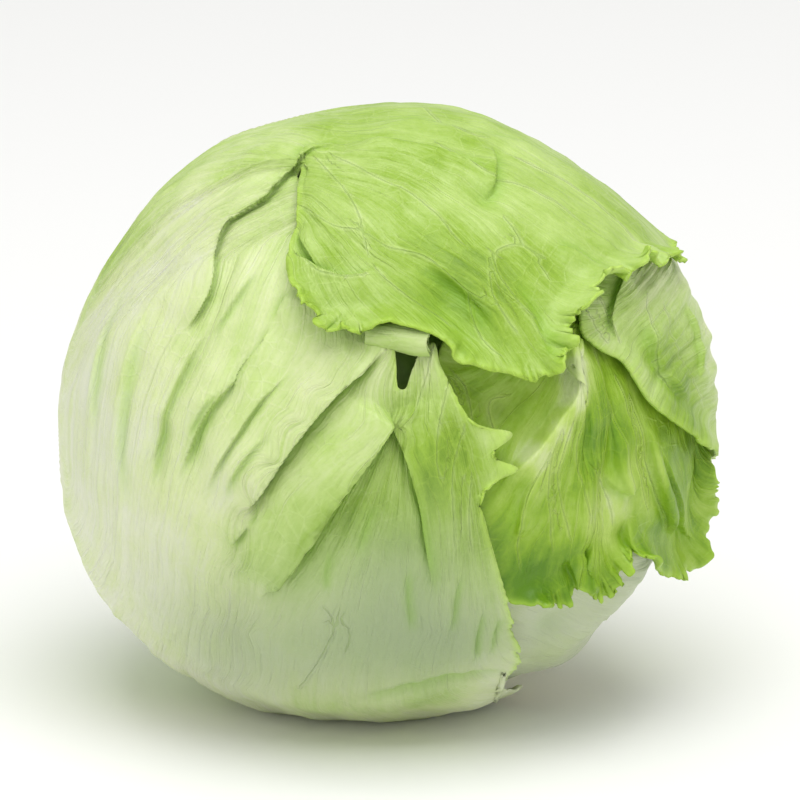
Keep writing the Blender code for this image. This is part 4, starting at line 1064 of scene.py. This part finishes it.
# Shoulder leaf: pale, on the right, with its free edge falling across the right leaf
shoulderRib = [
    *points(byStem, (257, leafFoot), (238, 32), (243, 47)),
    *points(turned, (8, 108), (20, 100), (29, 91)),
    *points(front, (58, 40)),
]
shoulderMargin = [
    *edges(byStem, (287, leafFoot, 0), (266, 27, 0.13), (266, 38, 0.24, 0.2, 0.2),
        (277, 49, 0.34, 0.4, 0.2)),
    *edges(front, (76.3, -8.4, 0.44, 2, 0.3), (66.8, -0.7, 0.55, 1.4), (60.8, 5.3, 0.64, 1.4),
        (56, 12.1, 0.72, 1.2), (51.2, 15, 0.78, 1), (47, 19.8, 0.84, 0.4), (47, 27, 0.9), (48, 36, 0.95),
        (52, 44, 1)),
]
shoulderOtherMargin = [
    *edges(byStem, (224, leafFoot, 0), (202, 38, 0.18, 0.6, 0.8), (206, 56, 0.34, 1, 1),
        (217, 73, 0.5, 1, 1), (233, 90, 0.66, 0.6, 0.4)),
    *edges(turned, (50, 106, 0.8), (48, 88, 0.92)),
    *edges(front, (52, 44, 1)),
]
shoulderEdge = points(front, (47, 24), (51.2, 15), (60.8, 5.3), (66.8, -0.7), (77, -9))
shoulderTrough = points(front, (63.2, 22.2), (66.8, 12.5), (74.1, 3.4))
shoulderVeins = (
    (668, 310, 672, 330, 684, 355, 700, 385, 712, 420),
    (650, 300, 652, 330, 660, 365, 680, 400),
    (600, 300, 610, 320, 620, 350),
    (590, 315, 600, 332, 608, 348),
)


def shoulderRelief(relief):
    relief.height += layers["wrap"]
    relief.dent(turned(14, 88), -2.4, 22.0)
    for height, reach, wall, groove, ends, lap, shade, path in (
        (1.8, 11, 0.8, 0.5, (0.2, 0.25), 1.6, 0.9, (630, 268, 620, 294, 613, 318, 616, 345)),
        (1.8, 10, 2.2, 0.5, (0.3, 0.3), 0.4, 0.5, (646, 306, 654, 342, 670, 374, 696, 402)),
        (1.2, 8, 1.6, 0.4, (0.3, 0.3), 0.4, 0.4, (686, 296, 698, 326, 704, 356, 704, 388)),
    ):
        relief.pleat(trace(*path), height, reach, wall, groove, ends, lap, 1.0, shade)
    relief.ridge(trace(596, 318, 640, 366, 680, 408, 708, 432), 0.9, 3.0, (0.2, 0.2), shade=0.2)
    relief.ridge(shoulderRib[:5], 1.4, 6.0, (0.05, 0.5))


def shoulderTones(net, fibre):
    tone = 0.30 + 0.2 * smoothStep(10.0, 60.0, fibre)
    tone = tone + dabs(net["d"], (
        (612, 290, 6, 0.2), (690, 405, 14, 0.36), (662, 350, 8, 0.1), (700, 330, 10, 0.15),
    ))
    return tone, np.full(len(fibre), 0.05)


shoulderLeaf = {
    "rib": shoulderRib, "margin": shoulderMargin, "otherMargin": shoulderOtherMargin, "layer": "wrap",
    "rows": 420, "triangles": 90000, "seed": 21, "puckers": 1.8,
    "veins": shoulderVeins, "relief": shoulderRelief, "tones": shoulderTones,
}
makeLeaf("shoulder_leaf", shoulderLeaf, {})

# Right leaf: comes over the right side and hangs down the front right in folds, with a frilled edge
rightRib = [
    *points(byStem, (254, leafFoot), (243, 30), (251, 45)),
    *points(turned, (12, 103)),
    *points(front, (62, 34), (47, 27), (43.5, 21), (42.5, 17)),
]
rightMargin = [
    *edges(byStem, (236, leafFoot, 0), (226, 34, 0.12), (233, 50, 0.22)),
    *edges(turned, (14, 124, 0.33), (32, 113, 0.45), (44, 98, 0.58)),
    *edges(front, (46, 50, 0.66), (30, 42, 0.72), (19.8, 27, 0.77), (13.5, 17, 0.81), (12, 6, 0.84),
        (12.5, -6.8, 0.87), (16.2, -26.1, 0.9), (22.2, -41, 0.93), (27, -44.5, 0.94, 0.2, 0.4),
        (33.5, -46.6, 0.955, 1.8, 1.2), (41, -46, 0.97, 2, 1.4), (46.5, -42.5, 1, 2)),
]
rightOtherMargin = [
    *edges(byStem, (275, leafFoot, 0), (262, 27, 0.1), (263, 38, 0.2), (270, 47, 0.36)),
    *edges(turned, (353, 88, 0.62, 0.2, 0.2)),
    *edges(front, (78, -14, 0.74, 4.2, 0.5, 5), (78, -20.8, 0.8, 5.4, 0.6, 5),
        (74.5, -31.6, 0.85, 6, 0.6, 5), (70.8, -37.8, 0.88, 5.2, 0.8, 6), (64.2, -38.8, 0.9, 3.6, 0.9),
        (59, -34, 0.92, 2.2, 1.2), (55.5, -40.5, 0.945, 2.2, 1.3), (50.6, -44.8, 0.97, 2, 1.3),
        (46.5, -42.5, 1, 2)),
]
rightFold = points(front, (27, -18.8), (36.7, -9.2), (41.5, -1.9), (45.1, 4.1), (45.2, 11.3), (42.7, 17.4))
rightSideFolds = (
    points(front, (64, -2), (68, -16), (70.5, -31)),
    points(front, (56, 0), (58.5, -14), (58, -27)),
    points(front, (49, -8), (50, -22), (47.5, -38)),
)
rightFolds = (
    (1.8, 7, 0.8, 1, (655, 420, 664, 470, 674, 510, 682, 545)),
    (1.6, 6, 0.8, 0.8, (668, 436, 680, 480, 690, 515, 697, 545)),
    (2.4, 7, 1.2, 1.4, (640, 520, 634, 550, 630, 580)),
    (1.6, 7, 1.2, 0.8, (604, 545, 596, 570, 588, 598)),
    (1.6, 6, 1, 0.8, (575, 560, 580, 580, 578, 600)),
    (1, 7, 1.6, 0.4, (545, 470, 528, 510, 520, 550)),
    (1, 8, 1.8, 0.3, (590, 400, 594, 440, 606, 480)),
    (1.2, 8, 1.6, 0.4, (618, 420, 626, 470, 640, 505)),
    (1, 6, 1.4, 0.4, (610, 470, 628, 490, 655, 488)),
    (1.2, 5, 1, 0.6, (600, 590, 592, 575, 590, 555)),
)
rightVeins = (
    (600, 345, 608, 385, 612, 430, 606, 480, 600, 530, 590, 575),
    (607, 385, 622, 425, 634, 470, 640, 510),
    (582, 420, 578, 450, 588, 490, 596, 540),
    (568, 428, 562, 455, 560, 480, 572, 520, 580, 560),
    (556, 440, 550, 470, 556, 520, 560, 570),
    (548, 455, 530, 500, 524, 550, 526, 590),
    (640, 400, 655, 450, 668, 500, 680, 545),
    (460, 372, 472, 385, 478, 410, 480, 430),
    (512, 395, 500, 400, 500, 420, 505, 440),
    (455, 380, 462, 395, 468, 410),
    (625, 380, 640, 420, 650, 470, 660, 530),
    (600, 470, 618, 500, 622, 540),
)


def rightRelief(relief):
    relief.height += layers["under"]
    hollow(relief)
    near, left, _, _ = relief.beside(shoulderEdge, 160.0)
    covered = np.zeros(len(relief.d))
    covered[near] = smoothStep(-5.0, 0.0, left)
    free = 1 - covered
    relief.pleat(rightFold[::-1], 4.2, 15.0, 1.6, 1.0, (0.05, 0.3), 1.2, free, 0.3)
    finger = trace(562, 338, 576, 362, 577, 392, 564, 420, 540, 452, 505, 488)
    relief.ridge(finger, 1.8, 2.4, (0.02, 0.3), free, 0.3)
    for path in rightSideFolds:
        relief.ridge(path, 1.6, 2.6, share=free, shade=0.1)
    for height, reach, wall, lap, path in rightFolds:
        relief.pleat(trace(*path), height, reach, wall, 0.5 * height, (0.3, 0.25), lap, free, 0.4)
    relief.ridge(shoulderTrough, -0.7, 4.0, share=covered)


def rightTones(net, fibre):
    tone = np.full(len(fibre), 0.76)
    tone = tone + dabs(net["d"], (
        (520, 590, 10, 0.2), (576, 362, 3.6, -0.45), (577, 385, 3.6, -0.45), (573, 406, 3.2, -0.4),
        (525, 575, 12, 0.06), (615, 520, 9, -0.12), (560, 430, 3.4, -0.35), (538, 458, 3.6, -0.3),
        (655, 500, 12, -0.12), (490, 410, 12, -0.12), (530, 415, 5, 0.12), (500, 448, 5, 0.1),
        (620, 440, 12, 0.06), (540, 560, 14, 0.08), (690, 480, 10, 0.1),
    ))
    return tone, dabs(net["d"], ((576, 380, 4, 0.15),))


rightLeaf = {
    "rib": rightRib, "margin": rightMargin, "otherMargin": rightOtherMargin, "layer": "under",
    "rows": 560, "columns": 110, "otherColumns": 90, "triangles": 150000, "seed": 33, "puckers": 2.2,
    "ruffle": 12.0, "ruffleHeight": 1.5, "veins": rightVeins, "relief": rightRelief, "tones": rightTones,
    "curls": ((534, 600, 3.4, 1.5), (636, 560, 3.5, 1.2), (700, 556, 3, 1)),
}
makeLeaf("right_leaf", rightLeaf, {"colours": rightColours, "patches": 0.75, "veinShadeShow": 0.28})

# Back leaf: its rib runs from the stem up the middle of the back
backRib = [
    *points(byStem, (182, leafFoot), (188, 33)),
    *points(turned, (318, 165), (90, 168), (90, 146), (90, 124), (90, 108)),
]
backMargin = [
    *edges(byStem, (130, leafFoot, 0), (114, 30, 0.1), (113, 49, 0.22)),
    *edges(turned, (222, 124, 0.35, 0, 0.3), (195, 128, 0.5, 0, 0.3), (165, 126, 0.65, 0, 0.3),
        (135, 118, 0.8, 0, 0.3), (110, 106, 0.92), (90, 98, 1)),
]
backOtherMargin = [
    *edges(byStem, (229, leafFoot, 0), (213, 36, 0.14), (218, 51, 0.28), (227, 66, 0.45), (236, 84, 0.62)),
    *edges(turned, (54, 109, 0.8), (75, 99, 0.93), (90, 98, 1)),
]


def backRelief(relief):
    relief.height += layers["under"]
    relief.ridge(backRib[:5], 2.6, 7.0, (0.03, 0.45))
    for tip in points(turned, (215, 150), (150, 152), (20, 150)):
        path = [turned(315, 150), unit(turned(318, 165) + tip), tip]
        relief.ridge(path, 0.8, 3.0, (0.3, 0.4), shade=0.2)


def backTones(net, fibre):
    return 0.10 + 0.4 * smoothStep(6.0, 60.0, fibre), 0.3 * (1 - smoothStep(20.0, 60.0, fibre))


backLeaf = {
    "rib": backRib, "margin": backMargin, "otherMargin": backOtherMargin, "layer": "under",
    "rows": 420, "triangles": 60000, "seed": 41, "relief": backRelief, "tones": backTones,
}
makeLeaf("back_leaf", backLeaf, {"bump": 0.9})

# Base leaf: low on the right, mostly the thick white foot of its rib
baseRib = [
    *points(byStem, (335, leafFoot)),
    *points(front, (50, -57), (62, -39), (70, -16), (72, 4)),
]
baseMargin = [
    *edges(byStem, (302, leafFoot, 0), (276, 25, 0.17)),
    *edges(turned, (338, 110, 0.35, 0.2, 0.2), (352, 106, 0.6, 0.2, 0.2), (8, 96, 0.85)),
    *edges(front, (70, 16, 1)),
]
baseOtherMargin = [
    *edges(byStem, (32, leafFoot, 0)),
    *edges(front, (19, -62, 0.12), (20, -48, 0.25), (24, -32, 0.4), (33, -14, 0.6), (50, 6, 0.85),
        (70, 16, 1)),
]
baseFoot = [
    *points(byStem, (340, 16)),
    *points(front, (44, -60), (53, -52), (58, -44)),
]


def baseRelief(relief):
    relief.height += layers["deep"]
    hollow(relief)
    relief.ridge(baseFoot, 3.2, 10.0, (0.02, 0.3))
    relief.dent(front(41.5, -55.0), 1.4, 5.0, shade=0.2)
    relief.dent(seen(648, 590), -2.4, 10.0)


def baseTones(net, fibre):
    tone = 0.02 + 0.5 * smoothStep(20.0, 60.0, fibre) + dabs(net["d"], ((560, 662, 8, 0.2),))
    return tone, 0.7 * (1 - smoothStep(20.0, 60.0, fibre))


baseLeaf = {
    "rib": baseRib, "margin": baseMargin, "otherMargin": baseOtherMargin, "layer": "deep",
    "rows": 300, "columns": 40, "otherColumns": 40, "triangles": 40000, "seed": 51,
    "relief": baseRelief, "tones": baseTones,
}
makeLeaf("base_leaf", baseLeaf, {"streaks": 0.2, "fineStreaks": 0.12, "bump": 0.4, "roughness": 0.34})

# Where the crown's margin turns in above the strip, it has rolled itself into a tube with an open end
rollSizes = {
    "length": 15.0, "outside": 3.9, "turns": 1.55, "gap": 1.0, "thickness": 0.55, "rows": 60, "columns": 120,
    "ends": (seen(368, 334) * 75.0, seen(428, 342) * 76.2), "startTurn": 3.6,
    "values": {
        "green": 0.42, "rim": 0.15, "spread": 1.0, "hollowShade": 0.0, "waxAndShade": 0.2,
        "veinSide": veinSizes["none"], "veinFar": veinSizes["none"],
    },
}


def rolledMargin(name):
    s = rollSizes
    bm = bmesh.new()
    bmesh.ops.create_grid(bm, x_segments=s["rows"], y_segments=s["columns"], size=0.5)
    ends = s["ends"]
    axis = unit(ends[1] - ends[0])
    middle = (ends[0] + ends[1]) / 2
    outwards = unit(middle - (middle @ axis) * axis)
    upwards = np.cross(axis, outwards)
    if upwards @ up < 0:
        upwards = -upwards
    for vert in bm.verts:
        along, wound = vert.co.x + 0.5, vert.co.y + 0.5
        angle = wound * s["turns"] * 2 * math.pi + 0.35 * math.sin(along * 5)
        radius = s["outside"] - s["gap"] * wound * s["turns"]
        radius = radius + 0.25 * math.sin(along * 9 + angle) - 0.9 * (1 - along) ** 2
        reach = s["length"] * (along - 0.5) + 0.5 * along * math.sin(2 * angle)
        at = angle + s["startTurn"]
        place = middle + axis * reach + radius * (outwards * math.cos(at) + upwards * math.sin(at))
        vert.co = Vector((centre + place) * mm)
    bmesh.ops.recalc_face_normals(bm, faces=bm.faces)
    bmesh.ops.solidify(bm, geom=bm.faces[:], thickness=s["thickness"] * mm)
    bmesh.ops.recalc_face_normals(bm, faces=bm.faces)
    mesh = newMesh(name, bm)
    mesh.shade_smooth()
    co = np.empty(len(mesh.vertices) * 3)
    mesh.vertices.foreach_get("co", co)
    co = co.reshape(-1, 3) / mm - centre
    setValues(mesh, {key: np.full(len(co), value) for key, value in s["values"].items()})
    setGrowth(mesh, np.stack([co @ upwards, co @ axis], axis=1) / 100)
    return newPiece(name, mesh)


roll = rolledMargin("outer_leaf_roll")
roll.data.materials.append(leafTissue("rolled margin tissue", commonLook))
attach(roll, "root")
print("roll done")


# Heart: packed inner leaves, seen through gaps only
def heartTissue(name):
    # Inner leaves: pale and closely packed, so light yellow-green with fine crumpling
    mat, tree, shader = newMaterial(name)
    patches = noise(tree, objectPlace(tree), 90.0, 4.0)
    colour = ramp(tree, patches, ((0.3, "#b4d673"), (0.7, "#8db64a")))
    raised = bumped(tree, math2(tree, "MULTIPLY", patches, 0.002), 0.7)
    connect(tree, shader, {"Base Color": colour, "Normal": raised, "Roughness": 0.5})
    return mat


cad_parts["heart"].data.materials[0] = heartTissue("heart leaf tissue")
print("heart done")

# Stem: cut square, drying rusty at the rim
stemSizes = {
    "cut": 69.0, "root": 34.0, "cutRadius": 16.0, "rootRadius": 11.0, "sides": 96, "rim": 0.8, "ringsEnd": 17.0,
}


def stemPiece(name):
    # the profile is turned about the stem's axis
    s = stemSizes
    cut, wide = s["cut"], s["cutRadius"]
    profile = (
        (0.0, cut - 0.9), (wide * 0.45, cut - 0.7), (wide * 0.8, cut - 0.2), (wide - s["rim"], cut),
        (wide, cut - s["rim"]), (s["rootRadius"], s["root"]), (0.0, s["root"]),
    )
    bm = bmesh.new()
    verts = [bm.verts.new(stemAxis * along + stemFront * away) for away, along in profile]
    for a, b in zip(verts, verts[1:]):
        bm.edges.new((a, b))
    bmesh.ops.spin(
        bm, geom=bm.verts[:] + bm.edges[:], cent=(0, 0, 0), axis=stemAxis, angle=2 * math.pi,
        steps=s["sides"], use_merge=True,
    )
    bmesh.ops.remove_doubles(bm, verts=bm.verts, dist=0.01)
    bmesh.ops.subdivide_edges(bm, edges=bm.edges, cuts=1, use_grid_fill=True)
    for vert in bm.verts:
        vert.co = Vector((centre + np.array(vert.co)) * mm)
    bmesh.ops.recalc_face_normals(bm, faces=bm.faces)
    mesh = newMesh(name, bm)
    mesh.shade_smooth()
    return newPiece(name, mesh)


def stemTissue(name):
    # A cut lettuce stem: moist pale pith, with a ring of vessels and a rim that dries to rust brown
    mat, tree, shader = newMaterial(name)
    place = objectPlace(tree)
    axis = tuple(stemAxis)
    local = vectorMath(tree, "SUBTRACT", {0: place, 1: tuple(centre * mm)})
    height = vectorMath(tree, "DOT_PRODUCT", {0: local, 1: axis}, "Value")
    onAxis = vectorMath(tree, "SCALE", {0: axis, "Scale": height})
    away = vectorMath(tree, "DISTANCE", {0: local, 1: onAxis}, "Value")
    spots = noise(tree, place, 240.0, 4.0)
    ring = math2(tree, "ADD", away, math2(tree, "MULTIPLY", math2(tree, "SUBTRACT", spots, 0.5), 0.005))
    colour = ramp(tree, math2(tree, "MULTIPLY", ring, 1000.0 / stemSizes["ringsEnd"]), (
        (0.0, "#d9dcb4"), (0.45, "#e2e4c4"), (0.6, "#b9bd7c"), (0.7, "#dcdcb0"), (0.86, "#c9a873"),
        (1.0, "#9c6a3c"),
    ))
    connect(tree, shader, {
        "Base Color": colour, "Normal": bumped(tree, math2(tree, "MULTIPLY", spots, 0.0012), 0.6),
        "Roughness": 0.45, "Subsurface Weight": 0.1, "Subsurface Radius": (1.0, 0.9, 0.5),
        "Subsurface Scale": 0.002,
    })
    return mat


stem = stemPiece("cut_stem")
stem.data.materials.append(stemTissue("cut stem tissue"))
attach(stem, "root")
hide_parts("stem")
print("stem done")

# Floor, light and camera
stage = {
    "floorColour": "#f7f7f5", "floorSize": 8.0, "cameraDistance": 2.4, "lens": 447.6, "aim": 0.002896,
    "key": ((0.1, -0.5, 1.7), 1.5, 24.0),  # place, size, power
    "fill": ((-1.2, -1.4, 0.6), 1.2, 2.5),
    "world": 0.6,
}


def paintedBoard(name, colour):
    # Painted board: flat and matte
    mat, tree, shader = newMaterial(name)
    connect(tree, shader, {"Base Color": colour, "Roughness": 0.8})
    return mat


def lamp(name, place, size, power):
    light = bpy.data.lights.new(name, "AREA")
    light.shape = "SQUARE"
    light.size = size
    light.energy = power
    made = newPiece(name, light)
    made.location = place
    made.rotation_euler = (Vector(centre * mm) - Vector(place)).to_track_quat("-Z", "Y").to_euler()


bm = bmesh.new()
bmesh.ops.create_grid(bm, x_segments=1, y_segments=1, size=stage["floorSize"])
floor = newPiece("floor", newMesh("floor", bm))
floor.data.materials.append(paintedBoard("pale board", stage["floorColour"]))

lamp("key", *stage["key"])
lamp("fill", *stage["fill"])
world = bpy.data.worlds.new("studio")
world.use_nodes = True
background = world.node_tree.nodes["Background"]
connect(world.node_tree, background, {"Color": (1.0, 1.0, 1.0, 1.0), "Strength": stage["world"]})
bpy.context.scene.world = world
bpy.context.scene.view_settings.view_transform = "Standard"

camera = bpy.data.cameras.new("camera")
camera.sensor_width = 36.0
camera.lens = stage["lens"]
viewer = newPiece("camera", camera)
aim = centre * mm + (right + up) * stage["aim"]
viewer.location = aim + toward * stage["cameraDistance"]
viewer.rotation_euler = Vector(-toward).to_track_quat("-Z", "Y").to_euler()
bpy.context.scene.camera = viewer
print("stage done")
